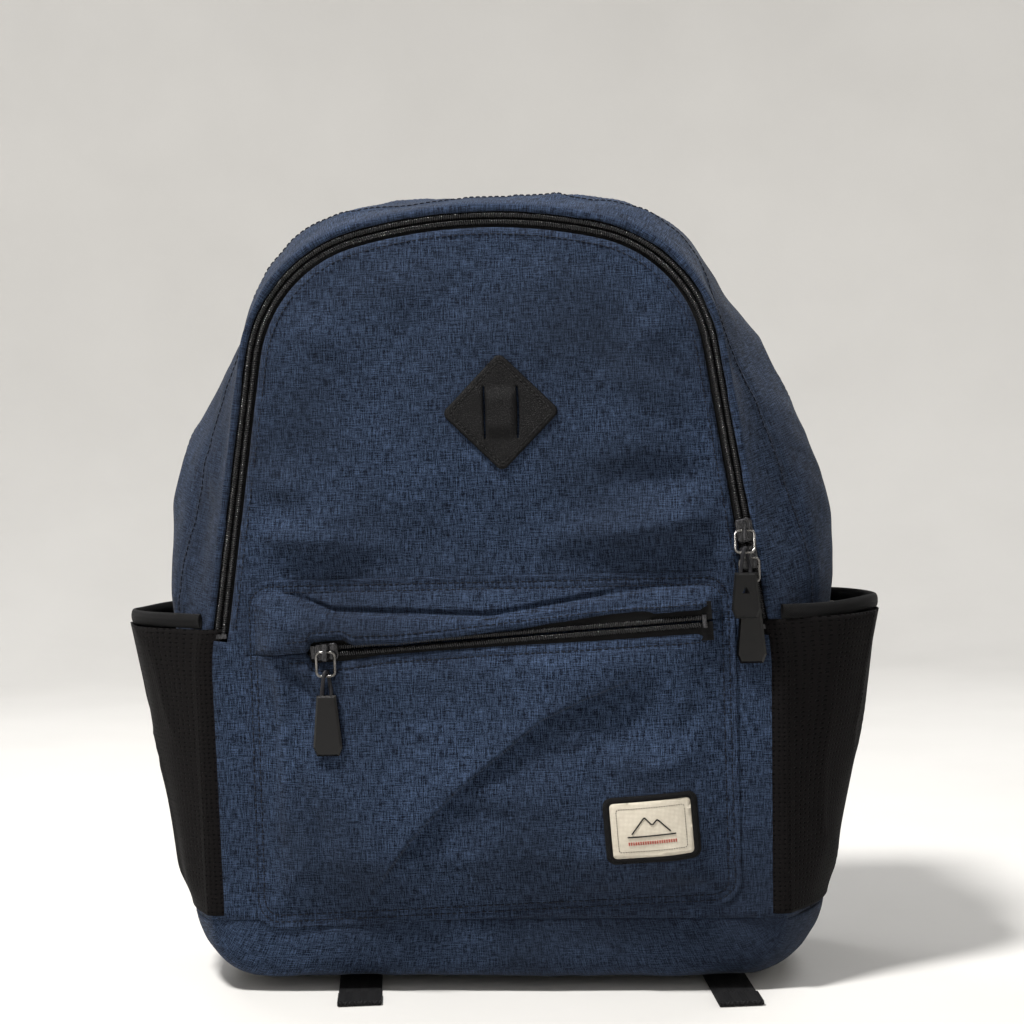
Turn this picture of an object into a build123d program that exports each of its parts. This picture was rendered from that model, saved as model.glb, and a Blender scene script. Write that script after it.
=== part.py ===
"""Daypack-style travel backpack, standing upright.

Frame: +Z up, +X to the wearer's right as seen from the front, the front panel faces -Y.
The origin is on the floor under the middle of the bag. All lengths are in millimetres.
The bag is a shell lofted from front to back through three arch-shaped outlines. A coil zip runs
along the front arch, and the cloth above HINGE_Z folds forward about a level line.
"""
from build123d import *
from dataclasses import dataclass
from math import cos, pi, radians, sin, tan
import os

os.makedirs("parts", exist_ok=True)

# Depth of the main layers, as Y positions
FRONT_Y = -81.5  # outer face of the front panel and front rim of the gusset
MIDDLE_Y = -10.0  # where the bag is widest
BACK_Y = 62.0  # back rim of the gusset
CLOTH = 2.3  # thickness of the padded outer cloth
WALL = 2.5  # thickness of the gusset wall
GAP = 0.3  # gap between neighbouring soft pieces
PATCH_GAP = 0.1  # gap under a patch that is sewn down

# Heights
SEAM_Z = 42.0  # top edge of the bottom panel
ZIP_END_Z = 206.0  # both lower ends of the main zip
HINGE_Z = 270.0  # the open front folds here
TOP_GUSSET_Z = 300.0  # seam between the side gussets and the top gusset
SLEEVE_TOP_Z = 292.0

# Zip chain: half the coil zip, measured from the middle of the chain
TAPE_T = 0.8
TAPE_HALF = 10.8
COIL_IN = 0.5
COIL_OUT = 3.3
COIL_LOW = 0.6  # coil height above the middle of the tape
COIL_HIGH = 3.0
CHAIN_INSET = 8.0  # main chain, inward from the front outline
PANEL_INSET = 14.0  # edge of the front panel, inward from the front outline
MAIN_TAPE_Y = -78.6  # middle of the main zip's tape
POCKET_TAPE_Y = -90.6  # middle of the pocket zip's tape

# Slider and pull
SLIDER_L = 13.0
SLIDER_HALF = 4.7
PLATE_T = 1.4
UNDER_PLATE_T = 1.2
NECK_T = 0.8
NECK_L = 3.0
NECK_IN = 3.5  # middle of the neck, from the slider's nose
FLANGE_T = 0.8
FLANGE_H = 2.5
BAIL_W = 9.4
BAIL_HOLE_W = 6.8
BAIL_HOLE_H = 3.8
BAIL_TOP = 1.6  # height of the bail over its hole, with its foot
BAIL_T = 2.4
BAIL_Z = 7.0  # height of the ring's bar above the middle of the tape
WIRE_R = 0.8
RING_HALF = 5.2  # half the ring's width, between wire centres
RING_H = 13.4  # height of the ring, between wire centres
RING_CORNER_R = 2.6
CORD_R = 1.1
END_TOP = 24.0  # top of the moulded end, below the ring's bar
SOCKET = 6.0  # depth of the two cord sockets in the moulded end
SOCKET_X = 2.8  # each socket, from the middle of the moulded end
END_T = 5.0  # thickness of the moulded end
END_FOOT = 5.0  # height of its narrowing foot
END_FOOT_IN = 2.0
END_HOLE_R = 2.6
END_HOLE_DOWN = 10.0
SOCKET_CLEAR = 0.4
LONG_END = (34.0, 11.0, 16.5)  # length, top width and lower width
SHORT_END = (25.0, 12.0, 16.0)
RING_LEAN = 30.0  # degrees, the upper pull's ring leans out over the lower slider

# Front pocket
POCKET_W = 277.0
POCKET_LOW = 43.0
POCKET_HIGH = 236.0
POCKET_DEPTH = 11.2
POCKET_WALL = 1.8
POCKET_TAPER = 40.0
POCKET_ZIP_Z = 201.7  # height of the pocket zip at x = 0
POCKET_ZIP_TILT = 3.5  # degrees, rising to the right
POCKET_ZIP_LEFT = -97.0
POCKET_ZIP_RIGHT = 122.0
POCKET_SLOT_HALF = 6.0
POCKET_SLOT_EXTRA = 6.0  # the slot, the tape and the coil against the length of the zip
POCKET_TAPE_EXTRA = 8.0
POCKET_COIL_SHORT = 4.0
POCKET_CORNER_R = 16.0

# Harness
WEB_W = 25.0
WEB_T = 1.5
STRAP_W = 62.0
STRAP_T = 11.0
STRAP_X = 78.0  # middle of each strap at its top
STRAP_SPLAY = 6.0  # degrees, outward towards the lower end
STRAP_TOP_Z = 428.0
STRAP_LOW_Z = 166.0
STRAP_MID_Y = 99.0  # inner face of the strap, half way down
STRAP_END_Y = 80.0  # inner face of the strap, at its lower end


@dataclass
class Outline:
    """Half of an arch outline, as straight runs joined by tangent arcs, from the base up to the crown."""

    y: float
    base_z: float
    flat: float
    corner_r: float
    corner_turn: float
    leg: float
    bend_r: float
    bend_turn: float
    slope: float
    shoulder_r: float
    shoulder_turn: float


FRONT = Outline(FRONT_Y, 10, 133, 30, 90, 135, 200, 8.5, 159.1, 88, 67.5)
MIDDLE = Outline(MIDDLE_Y, 2, 141, 45, 86.7, 196, 150, 32.3, 109.8, 65.6, 53)
BACK = Outline(BACK_Y, 6, 133, 32, 90, 197, 180, 14, 104.6, 85, 64)
POCKET_MIDDLE = Outline(MIDDLE_Y, 6, 146, 42, 79.6, 178, 150, 39.4, 109.8, 65.6, 53)


def arch(outline, inset=0.0, y=None):
    """The face inside an outline, moved inward by inset (outward if negative), at depth y."""
    depth = outline.y if y is None else y
    with BuildSketch(Plane.XZ.offset(-depth)) as face:
        with BuildLine():
            floor_z = outline.base_z + inset
            base = Line((0, floor_z), (outline.flat, floor_z))
            corner = JernArc(base @ 1, base % 1, outline.corner_r - inset, outline.corner_turn)
            leg = PolarLine(corner @ 1, outline.leg, direction=corner % 1)
            bend = JernArc(leg @ 1, leg % 1, outline.bend_r - inset, outline.bend_turn)
            slope = PolarLine(bend @ 1, outline.slope, direction=bend % 1)
            shoulder = JernArc(slope @ 1, slope % 1, outline.shoulder_r - inset, outline.shoulder_turn)
            left_to_turn = 180 - outline.corner_turn - outline.bend_turn - outline.shoulder_turn
            crown_r = (shoulder @ 1).X / sin(radians(left_to_turn))
            JernArc(shoulder @ 1, shoulder % 1, crown_r, left_to_turn)
            mirror(about=Plane.YZ)
        make_face()
    return face.sketch


def shell_sections(inset, middle=MIDDLE, front_y=FRONT_Y, middle_inset=None):
    """Front, middle and back faces of the bag's lofted skin, moved inward by inset."""
    centre = inset if middle_inset is None else middle_inset
    return [arch(FRONT, inset, front_y), arch(middle, centre), arch(BACK, inset)]


def front_band(outer, inner, y_front, y_back):
    """A flat ring between two insets of the front outline, from y_front back to y_back."""
    with BuildPart() as band:
        extrude(arch(FRONT, outer, y_front), amount=y_back - y_front, dir=(0, 1, 0))
        extrude(
            arch(FRONT, inner, y_front), amount=y_back - y_front, dir=(0, 1, 0), mode=Mode.SUBTRACT
        )
    return band.part


def slab(low, high):
    """A large block between two heights, used to cut the bag level."""
    with BuildPart(Plane.XY.offset(low)) as block:
        Box(900, 900, high - low, align=(Align.CENTER, Align.CENTER, Align.MIN))
    return block.part


def save(piece, name):
    """Labels a finished piece and writes its file."""
    piece.label = name
    export_step(piece, f"parts/{name}.step")


FAR = 600.0

# ---------------------------------------------------------------- gusset and bottom

outer_sections = shell_sections(0)
inner_sections = shell_sections(WALL)

with BuildPart() as skin:
    loft(sections=outer_sections)
    loft(sections=inner_sections, mode=Mode.SUBTRACT)

with BuildPart() as top_gusset:
    add(skin.part)
    add(slab(TOP_GUSSET_Z + GAP, FAR), mode=Mode.INTERSECT)
save(top_gusset.part, "top_gusset")

for side, sign in (("left", -1), ("right", 1)):
    with BuildPart() as side_gusset:
        add(skin.part)
        add(slab(SEAM_Z + GAP, TOP_GUSSET_Z), mode=Mode.INTERSECT)
        with Locations((sign * FAR / 2, 0, 0)):
            Box(FAR, FAR, 4 * FAR, mode=Mode.INTERSECT)
    save(side_gusset.part, f"side_gusset_{side}")

with BuildPart() as bottom_panel:
    loft(sections=outer_sections)
    loft(sections=shell_sections(WALL, front_y=FRONT_Y + CLOTH), mode=Mode.SUBTRACT)
    add(slab(-1, SEAM_Z), mode=Mode.INTERSECT)
save(bottom_panel.part, "bottom_panel")

# ---------------------------------------------------------------- front panel, in two parts

with BuildPart() as beside_zip:
    extrude(arch(FRONT, PANEL_INSET), amount=CLOTH, dir=(0, 1, 0))
    add(slab(ZIP_END_Z - 3, HINGE_Z - GAP), mode=Mode.INTERSECT)

with BuildPart() as front_panel_lower:
    extrude(arch(FRONT, WALL + GAP), amount=CLOTH, dir=(0, 1, 0))
    add(slab(SEAM_Z + GAP, ZIP_END_Z - 3), mode=Mode.INTERSECT)
    add(beside_zip.part)
save(front_panel_lower.part, "front_panel_lower")

with BuildPart() as front_panel_flap:
    extrude(arch(FRONT, PANEL_INSET), amount=CLOTH, dir=(0, 1, 0))
    add(slab(HINGE_Z + GAP, FAR), mode=Mode.INTERSECT)
save(front_panel_flap.part, "front_panel_flap")

# ---------------------------------------------------------------- main zip

tape_front = MAIN_TAPE_Y - TAPE_T / 2
tape_back = MAIN_TAPE_Y + TAPE_T / 2
coil_front = MAIN_TAPE_Y - COIL_HIGH
coil_back = MAIN_TAPE_Y - COIL_LOW

outer_tape = front_band(WALL + 0.7, CHAIN_INSET - COIL_IN, tape_front, tape_back)
inner_tape = front_band(CHAIN_INSET + COIL_IN, CHAIN_INSET + TAPE_HALF, tape_front, tape_back)
outer_coil = front_band(CHAIN_INSET - COIL_OUT, CHAIN_INSET - COIL_IN, coil_front, coil_back)
inner_coil = front_band(CHAIN_INSET + COIL_IN, CHAIN_INSET + COIL_OUT, coil_front, coil_back)

zip_pieces = [
    ("zip_tape_outer", outer_tape, ZIP_END_Z, FAR),
    ("zip_coil_outer", outer_coil, ZIP_END_Z, FAR),
    ("zip_tape_inner_lower", inner_tape, ZIP_END_Z, HINGE_Z - GAP),
    ("zip_coil_inner_lower", inner_coil, ZIP_END_Z, HINGE_Z - GAP),
    ("zip_tape_inner_flap", inner_tape, HINGE_Z + GAP, FAR),
    ("zip_coil_inner_flap", inner_coil, HINGE_Z + GAP, FAR),
]
for name, ring, low, high in zip_pieces:
    with BuildPart() as zip_piece:
        add(ring)
        add(slab(low, high), mode=Mode.INTERSECT)
    save(zip_piece.part, name)

# The right leg of the main chain is straight from LEG_Z up, leaning inward by LEAN degrees.
LEAN = FRONT.bend_turn
leg_x = FRONT.flat + FRONT.corner_r
LEG_Z = FRONT.base_z + FRONT.corner_r + FRONT.leg + FRONT.bend_r * sin(radians(LEAN))
leg_top_x = leg_x - FRONT.bend_r * (1 - cos(radians(LEAN)))


def chain_x(z):
    """Distance of the main chain from the middle plane, at height z on its straight stretch."""
    return leg_top_x - (z - LEG_Z) * tan(radians(LEAN)) - CHAIN_INSET / cos(radians(LEAN))


STOP_W = 7.0  # across the chain
STOP_L = 2.4  # along the chain
STOP_T = 2.4
with BuildPart() as zip_end_stops:
    for sign in (-1, 1):
        with Locations((sign * chain_x(ZIP_END_Z), coil_front + STOP_T / 2, ZIP_END_Z - 0.2)):
            Box(STOP_W, STOP_T, STOP_L, align=(Align.CENTER, Align.CENTER, Align.MAX))
save(zip_end_stops.part, "zip_end_stops")

# ---------------------------------------------------------------- sliders and pulls


def chain_plane(x, tape_y, z, along):
    """Slider frame: local Y runs along the chain, local Z out of the bag, the origin is on the tape."""
    angle = radians(along)
    return Plane(origin=(x, tape_y, z), x_dir=(sin(angle), 0, -cos(angle)), z_dir=(0, -1, 0))


def zip_slider(plane, bail_dir, nose):
    """A slider: two plates joined by a thin neck, side flanges, and a bail for the ring.

    nose is 1 or -1, the end of local Y where the neck stands, and bail_dir the way the bail runs.
    """
    under = -TAPE_T / 2 - GAP
    over = COIL_HIGH + 0.4
    with BuildPart(plane) as slider:
        with BuildSketch(plane.offset(over)):
            RectangleRounded(2 * SLIDER_HALF, SLIDER_L, 2.2)
        extrude(amount=PLATE_T)
        chamfer(slider.faces().sort_by(Axis(plane.origin, plane.z_dir))[-1].edges(), 0.5)
        with BuildSketch(plane.offset(under)):
            RectangleRounded(2 * SLIDER_HALF - 1, SLIDER_L, 2.0)
        extrude(amount=-UNDER_PLATE_T)
        with Locations((0, nose * (SLIDER_L / 2 - NECK_IN), (under + over) / 2)):
            Box(NECK_T, NECK_L, over - under)
        flange_x = SLIDER_HALF - FLANGE_T / 2
        with Locations((-flange_x, 0, over), (flange_x, 0, over)):
            Box(FLANGE_T, SLIDER_L - 5, FLANGE_H, align=(Align.CENTER, Align.CENTER, Align.MAX))
        foot = plane.offset(over + PLATE_T).origin
        side_plane = Plane(origin=foot, x_dir=bail_dir, z_dir=Vector(*bail_dir).cross(plane.z_dir))
        with BuildSketch(side_plane):
            with Locations((0, -0.2)):
                Rectangle(BAIL_W, BAIL_HOLE_H + BAIL_TOP, align=(Align.CENTER, Align.MIN))
            Rectangle(BAIL_HOLE_W, BAIL_HOLE_H, align=(Align.CENTER, Align.MIN), mode=Mode.SUBTRACT)
        extrude(amount=BAIL_T / 2, both=True)
    return slider.part


def ring_plane(pivot, tilt):
    """Plane of a ring that hangs from pivot, leaning out of the bag by tilt degrees."""
    lean = radians(tilt)
    return Plane(origin=pivot, x_dir=(1, 0, 0), z_dir=(0, -cos(lean), sin(lean)))


def wire_ring(pivot, tilt=0.0):
    """A closed rectangular ring of round wire with rounded corners, hanging from pivot."""
    with BuildPart() as ring:
        with BuildLine(ring_plane(pivot, tilt)):
            loop = FilletPolyline(
                (RING_HALF, 0), (RING_HALF, -RING_H), (-RING_HALF, -RING_H), (-RING_HALF, 0),
                radius=RING_CORNER_R, close=True,
            )
        with BuildSketch(Plane(origin=loop @ 0, z_dir=loop % 0)):
            Circle(WIRE_R)
        sweep()
    return ring.part


def cord_route(bar, end_top):
    """Control points of a pull's cord: out of one socket, over the ring's bar and back down."""
    side, near, loop = SOCKET_X, 1.2, 2.45
    above_end, under_bar, over_bar = 1.0, 2.5, 2.4
    x, bar_y, bar_z = bar
    _, end_y, end_z = end_top
    return [
        (x - side, end_y, end_z - SOCKET),
        (x - side, end_y, end_z + above_end),
        (x - near, bar_y - loop, bar_z - under_bar),
        (x - near / 2, bar_y - loop, bar_z + over_bar),
        (x + near / 2, bar_y + loop, bar_z + over_bar),
        (x + near, bar_y + loop, bar_z - under_bar),
        (x + side, end_y, end_z + above_end),
        (x + side, end_y, end_z - SOCKET),
    ]


def corner_radii(points):
    """The largest tangent arcs that the runs allow: 0.45 of the shorter run over tan(half the turn)."""
    radii = []
    for before, corner, after in zip(points, points[1:], points[2:]):
        run_in = Vector(*corner) - Vector(*before)
        run_out = Vector(*after) - Vector(*corner)
        half_turn = radians(run_in.get_angle(run_out) / 2)
        radii.append(0.45 * min(run_in.length, run_out.length) / tan(half_turn))
    return radii


def pull_cord(name, bar, end_top):
    """The cord tube of one pull, made as straight runs joined by tangent arcs."""
    points = cord_route(bar, end_top)
    radii = corner_radii(points)
    with BuildPart() as cord:
        with BuildLine():
            route = FilletPolyline(*points, radius=radii)
        with BuildSketch(Plane(origin=route @ 0, z_dir=route % 0)):
            Circle(CORD_R)
        sweep()
    length = route.length
    section = pi * CORD_R**2
    print(name, "radii", [round(r, 2) for r in radii], "length", round(length, 2))
    print(name, "volume over section x length", round(cord.part.volume / (section * length), 4))
    return cord.part


def pull_end(top, length, top_w, low_w, with_hole=False):
    """A moulded end: a tapered plate with two cord sockets in its top."""
    front = Plane(origin=top, x_dir=(1, 0, 0), z_dir=(0, -1, 0))
    with BuildPart() as end:
        with BuildSketch(front.offset(-END_T / 2)):
            with BuildLine():
                foot_top = END_FOOT - length
                foot_x = low_w / 2 - END_FOOT_IN
                Polyline(
                    (-top_w / 2, 0), (top_w / 2, 0), (low_w / 2, foot_top), (foot_x, -length),
                    (-foot_x, -length), (-low_w / 2, foot_top), close=True,
                )
            make_face()
            if with_hole:
                with Locations((0, -END_HOLE_DOWN)):
                    RegularPolygon(END_HOLE_R, 3, rotation=90, mode=Mode.SUBTRACT)
        extrude(amount=END_T)
        chamfer(end.faces().sort_by(Axis.Y)[0].outer_wire().edges(), 1.2)
        chamfer(end.faces().sort_by(Axis.Y)[-1].outer_wire().edges(), 0.6)
        with BuildSketch(Plane(origin=top, x_dir=(1, 0, 0), z_dir=(0, 0, 1))):
            with Locations((-SOCKET_X, 0), (SOCKET_X, 0)):
                Circle(CORD_R + SOCKET_CLEAR)
        extrude(amount=-SOCKET - SOCKET_CLEAR, mode=Mode.SUBTRACT)
    return end.part


# Two sliders stand nose to nose on the right leg; A is the lower one. The upper one's pull lies
# over the lower slider, so its ring leans out and its end hangs in front of the other pull.
SLIDER_A_Z = 243.0
SLIDER_B_Z = 258.0
SLIDER_P_X = -89.0
OVERLAP_OUT = 0.4  # the upper pull's end stands this much farther out, and hangs lower on its ring
OVERLAP_UP = 1.4
pocket_z = POCKET_ZIP_Z + SLIDER_P_X * tan(radians(POCKET_ZIP_TILT))
leg_dir = (-sin(radians(LEAN)), 0, cos(radians(LEAN)))
sliders = [
    ("a", chain_x(SLIDER_A_Z), MAIN_TAPE_Y, SLIDER_A_Z, 90 + LEAN, leg_dir, 1, 0.0),
    ("b", chain_x(SLIDER_B_Z), MAIN_TAPE_Y, SLIDER_B_Z, 90 + LEAN, leg_dir, -1, RING_LEAN),
    ("pocket", SLIDER_P_X, POCKET_TAPE_Y, pocket_z, POCKET_ZIP_TILT, (0, 0, 1), -1, 0.0),
]
for key, x, tape_y, z, along, bail_dir, nose, tilt in sliders:
    save(zip_slider(chain_plane(x, tape_y, z, along), bail_dir, nose), f"slider_{key}")
    pivot = (x, tape_y - BAIL_Z, z)
    save(wire_ring(pivot, tilt), f"pull_ring_{key}")
    bar = (x, pivot[1] - RING_H * sin(radians(tilt)), z - RING_H * cos(radians(tilt)))
    out, up = (OVERLAP_OUT, OVERLAP_UP) if tilt else (0.0, 0.0)
    end_top = (x, bar[1] - out, z - END_TOP + up)
    save(pull_cord(f"pull_cord_{key}", bar, end_top), f"pull_cord_{key}")
    if key == "b":
        end = pull_end(end_top, *SHORT_END, with_hole=True)
    else:
        end = pull_end(end_top, *LONG_END)
    save(end, f"pull_end_{key}")
    print("pivot", key, [round(v, 2) for v in pivot])

# ---------------------------------------------------------------- front pocket

pocket_mid_z = (POCKET_LOW + POCKET_HIGH) / 2
pocket_h = POCKET_HIGH - POCKET_LOW
pocket_back_y = FRONT_Y - GAP
pocket_front_y = pocket_back_y - POCKET_DEPTH

with BuildPart() as pocket_shell:
    with BuildSketch(Plane.XZ.offset(-pocket_back_y)):
        with Locations((0, pocket_mid_z)):
            RectangleRounded(POCKET_W, pocket_h, POCKET_CORNER_R)
    extrude(amount=POCKET_DEPTH, taper=POCKET_TAPER)
    with BuildSketch(Plane.XZ.offset(-pocket_back_y)):
        with Locations((0, pocket_mid_z)):
            RectangleRounded(POCKET_W - 3 * POCKET_WALL, pocket_h - 3 * POCKET_WALL, POCKET_CORNER_R - 2)
    extrude(amount=POCKET_DEPTH - POCKET_WALL, taper=POCKET_TAPER, mode=Mode.SUBTRACT)

zip_line = Plane(
    origin=(0, POCKET_TAPE_Y, POCKET_ZIP_Z),
    x_dir=(cos(radians(POCKET_ZIP_TILT)), 0, sin(radians(POCKET_ZIP_TILT))),
    z_dir=(0, -1, 0),
)
zip_mid = (POCKET_ZIP_LEFT + POCKET_ZIP_RIGHT) / 2
zip_len = POCKET_ZIP_RIGHT - POCKET_ZIP_LEFT

with BuildPart(zip_line) as above_zip:
    with Locations((0, GAP / 2, 0)):
        Box(FAR, FAR, FAR, align=(Align.CENTER, Align.MIN, Align.CENTER))

with BuildPart(zip_line) as zip_slot:
    with Locations((zip_mid, 0, 0)):
        Box(zip_len + POCKET_SLOT_EXTRA, 2 * POCKET_SLOT_HALF, FAR)

with BuildPart() as front_pocket_band:
    add(pocket_shell.part)
    add(zip_slot.part, mode=Mode.SUBTRACT)
    add(above_zip.part, mode=Mode.INTERSECT)
save(front_pocket_band.part, "front_pocket_band")

with BuildPart(zip_line) as below_zip:
    with Locations((0, -GAP / 2, 0)):
        Box(FAR, FAR, FAR, align=(Align.CENTER, Align.MAX, Align.CENTER))

with BuildPart() as front_pocket_panel:
    add(pocket_shell.part)
    add(zip_slot.part, mode=Mode.SUBTRACT)
    add(below_zip.part, mode=Mode.INTERSECT)
save(front_pocket_panel.part, "front_pocket_panel")

for name, sign in (("upper", 1), ("lower", -1)):
    with BuildPart(zip_line) as pocket_tape:
        with Locations((zip_mid, sign * (COIL_IN + TAPE_HALF) / 2, 0)):
            Box(zip_len + POCKET_TAPE_EXTRA, TAPE_HALF - COIL_IN, TAPE_T)
    save(pocket_tape.part, f"pocket_zip_tape_{name}")
    with BuildPart(zip_line) as pocket_coil:
        with Locations((zip_mid, sign * (COIL_IN + COIL_OUT) / 2, (COIL_LOW + COIL_HIGH) / 2)):
            Box(zip_len - POCKET_COIL_SHORT, COIL_OUT - COIL_IN, COIL_HIGH - COIL_LOW)
    save(pocket_coil.part, f"pocket_zip_coil_{name}")

with BuildPart(zip_line) as pocket_zip_stops:
    for x in (POCKET_ZIP_LEFT, POCKET_ZIP_RIGHT):
        with Locations((x, 0, COIL_LOW + STOP_T / 2)):
            Box(STOP_L, STOP_W, STOP_T)
save(pocket_zip_stops.part, "pocket_zip_stops")

# ---------------------------------------------------------------- patches

LASH_X = 12.0
LASH_Z = 327.0
LASH_SIDE = 47.0
LASH_T = 2.2
LASH_SLIT = 28.0
LASH_SLIT_X = 9.0
LASH_SLIT_W = 1.6
LASH_CORNER_R = 4.0
with BuildPart() as lash_tab:
    with BuildSketch(Plane.XZ.offset(-FRONT_Y + PATCH_GAP)):
        with Locations((LASH_X, LASH_Z)):
            RectangleRounded(LASH_SIDE, LASH_SIDE, LASH_CORNER_R, rotation=45)
        with Locations((LASH_X - LASH_SLIT_X, LASH_Z), (LASH_X + LASH_SLIT_X, LASH_Z)):
            Rectangle(LASH_SLIT_W, LASH_SLIT, mode=Mode.SUBTRACT)
    extrude(amount=LASH_T)
save(lash_tab.part, "lash_tab")

LABEL_X = 90.0
LABEL_Z = 96.0
LABEL_W = 50.0
LABEL_H = 36.0
LABEL_RIM = 3.0
LABEL_RIM_T = 1.8
LABEL_T = 1.2
LABEL_CORNER_R = 5.0
with BuildPart() as label_frame:
    with BuildSketch(Plane.XZ.offset(-pocket_front_y + PATCH_GAP)):
        with Locations((LABEL_X, LABEL_Z)):
            RectangleRounded(LABEL_W, LABEL_H, LABEL_CORNER_R)
            Rectangle(LABEL_W - 2 * LABEL_RIM, LABEL_H - 2 * LABEL_RIM, mode=Mode.SUBTRACT)
    extrude(amount=LABEL_RIM_T)
save(label_frame.part, "label_frame")

with BuildPart() as label_face:
    with BuildSketch(Plane.XZ.offset(-pocket_front_y + PATCH_GAP)):
        with Locations((LABEL_X, LABEL_Z)):
            Rectangle(LABEL_W - 2 * LABEL_RIM, LABEL_H - 2 * LABEL_RIM)
    extrude(amount=LABEL_T)
save(label_face.part, "label_face")

# ---------------------------------------------------------------- side pockets

MESH_T = 1.2
MESH_GAP = 0.5  # gap between the mesh and the gusset where the mesh is sewn down
BINDING_OVER = 0.8  # the rolled binding stands out this far past the mesh
MESH_LOW = 45.0
MESH_HIGH = 209.0
BINDING_H = 8.0
POCKET_D = 136.0  # length of a side pocket from front to back
POCKET_MID_Y = -11.5
POCKET_REACH = 400.0  # keeps each side pocket to its own side
with BuildPart() as mesh_skin:
    loft(sections=shell_sections(-MESH_GAP - MESH_T, POCKET_MIDDLE, middle_inset=0))
    loft(sections=shell_sections(-MESH_GAP, POCKET_MIDDLE, middle_inset=MESH_T), mode=Mode.SUBTRACT)

with BuildPart() as binding_skin:
    loft(sections=shell_sections(-BINDING_OVER - MESH_T, POCKET_MIDDLE, middle_inset=-BINDING_OVER))
    loft(
        sections=shell_sections(-BINDING_OVER / 2, POCKET_MIDDLE, middle_inset=MESH_T + BINDING_OVER),
        mode=Mode.SUBTRACT,
    )

for side, sign in (("left", -1), ("right", 1)):
    with BuildPart() as side_pocket:
        add(mesh_skin.part)
        add(slab(MESH_LOW, MESH_HIGH - GAP), mode=Mode.INTERSECT)
        with Locations((sign * FAR / 2, POCKET_MID_Y, 0)):
            Box(POCKET_REACH, POCKET_D, 4 * FAR, mode=Mode.INTERSECT)
    save(side_pocket.part, f"side_pocket_{side}")
    with BuildPart() as pocket_binding:
        add(binding_skin.part)
        add(slab(MESH_HIGH, MESH_HIGH + BINDING_H), mode=Mode.INTERSECT)
        with Locations((sign * FAR / 2, POCKET_MID_Y, 0)):
            Box(POCKET_REACH, POCKET_D, 4 * FAR, mode=Mode.INTERSECT)
    save(pocket_binding.part, f"pocket_binding_{side}")

# ---------------------------------------------------------------- back, lining and sleeve

BACK_T = 2.5
SEAM_TAPE_T = 2.0
SEAM_TAPE_IN = (3.2, 9.0)  # its two edges, inward from the back outline
back_face_y = BACK_Y + GAP
with BuildPart() as back_panel:
    extrude(arch(BACK, 0, back_face_y), amount=BACK_T, dir=(0, 1, 0))
save(back_panel.part, "back_panel")
pad_y = back_face_y + BACK_T + GAP

FOAM_T = 5.0
FOAM_INSET = 12.0
with BuildPart() as back_foam:
    extrude(arch(BACK, FOAM_INSET, BACK_Y - FOAM_T), amount=FOAM_T, dir=(0, 1, 0))
save(back_foam.part, "back_foam")

with BuildPart() as seam_binding:
    for inset, mode in zip(SEAM_TAPE_IN, (Mode.ADD, Mode.SUBTRACT)):
        extrude(arch(BACK, inset, BACK_Y - SEAM_TAPE_T), amount=SEAM_TAPE_T, dir=(0, 1, 0), mode=mode)
save(seam_binding.part, "seam_binding")

SLEEVE_W = 252.0
SLEEVE_D = 13.0
SLEEVE_LOW = 26.0
SLEEVE_WALL = 2.0
SLEEVE_TAPE_T = 3.0
SLEEVE_TAPE_H = 10.0
sleeve_back_y = BACK_Y - FOAM_T - GAP
sleeve_h = SLEEVE_TOP_Z - SLEEVE_LOW
with BuildPart(Plane.XY.offset(SLEEVE_LOW)) as laptop_sleeve:
    with Locations((0, sleeve_back_y, 0)):
        Box(SLEEVE_W, SLEEVE_D, sleeve_h, align=(Align.CENTER, Align.MAX, Align.MIN))
    with Locations((0, sleeve_back_y, SLEEVE_WALL)):
        Box(
            SLEEVE_W - 2 * SLEEVE_WALL, SLEEVE_D - SLEEVE_WALL, sleeve_h,
            align=(Align.CENTER, Align.MAX, Align.MIN), mode=Mode.SUBTRACT,
        )
save(laptop_sleeve.part, "laptop_sleeve")

with BuildPart(Plane.XY.offset(SLEEVE_TOP_Z + PATCH_GAP)) as sleeve_binding:
    with Locations((0, sleeve_back_y - SLEEVE_D - 0.5, 0)):
        Box(SLEEVE_W, SLEEVE_TAPE_T, SLEEVE_TAPE_H, align=(Align.CENTER, Align.MIN, Align.MIN))
save(sleeve_binding.part, "sleeve_binding")

PAD_T = 10.0
PAD_CORNER_R = 16.0
PAD_TAPER = 25.0
pads = [  # middle, width and height of each pad
    ("back_pad_left", -68, 252, 86, 250),
    ("back_pad_right", 68, 252, 86, 250),
    ("lumbar_pad", 0, 72, 222, 84),
]
for name, x, z, width, height in pads:
    with BuildPart() as pad:
        with BuildSketch(Plane.XZ.offset(-pad_y)):
            with Locations((x, z)):
                RectangleRounded(width, height, PAD_CORNER_R)
        extrude(amount=-PAD_T, taper=PAD_TAPER)
    save(pad.part, name)

YOKE_Z = 409.0
YOKE_W = 216.0
YOKE_H = 50.0
YOKE_T = 2.0
with BuildPart() as strap_yoke:
    with BuildSketch(Plane.XZ.offset(-pad_y)):
        with Locations((0, YOKE_Z)):
            RectangleRounded(YOKE_W, YOKE_H, 10)
    extrude(amount=-YOKE_T)
save(strap_yoke.part, "strap_yoke")
yoke_y = pad_y + YOKE_T

# ---------------------------------------------------------------- harness

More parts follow.
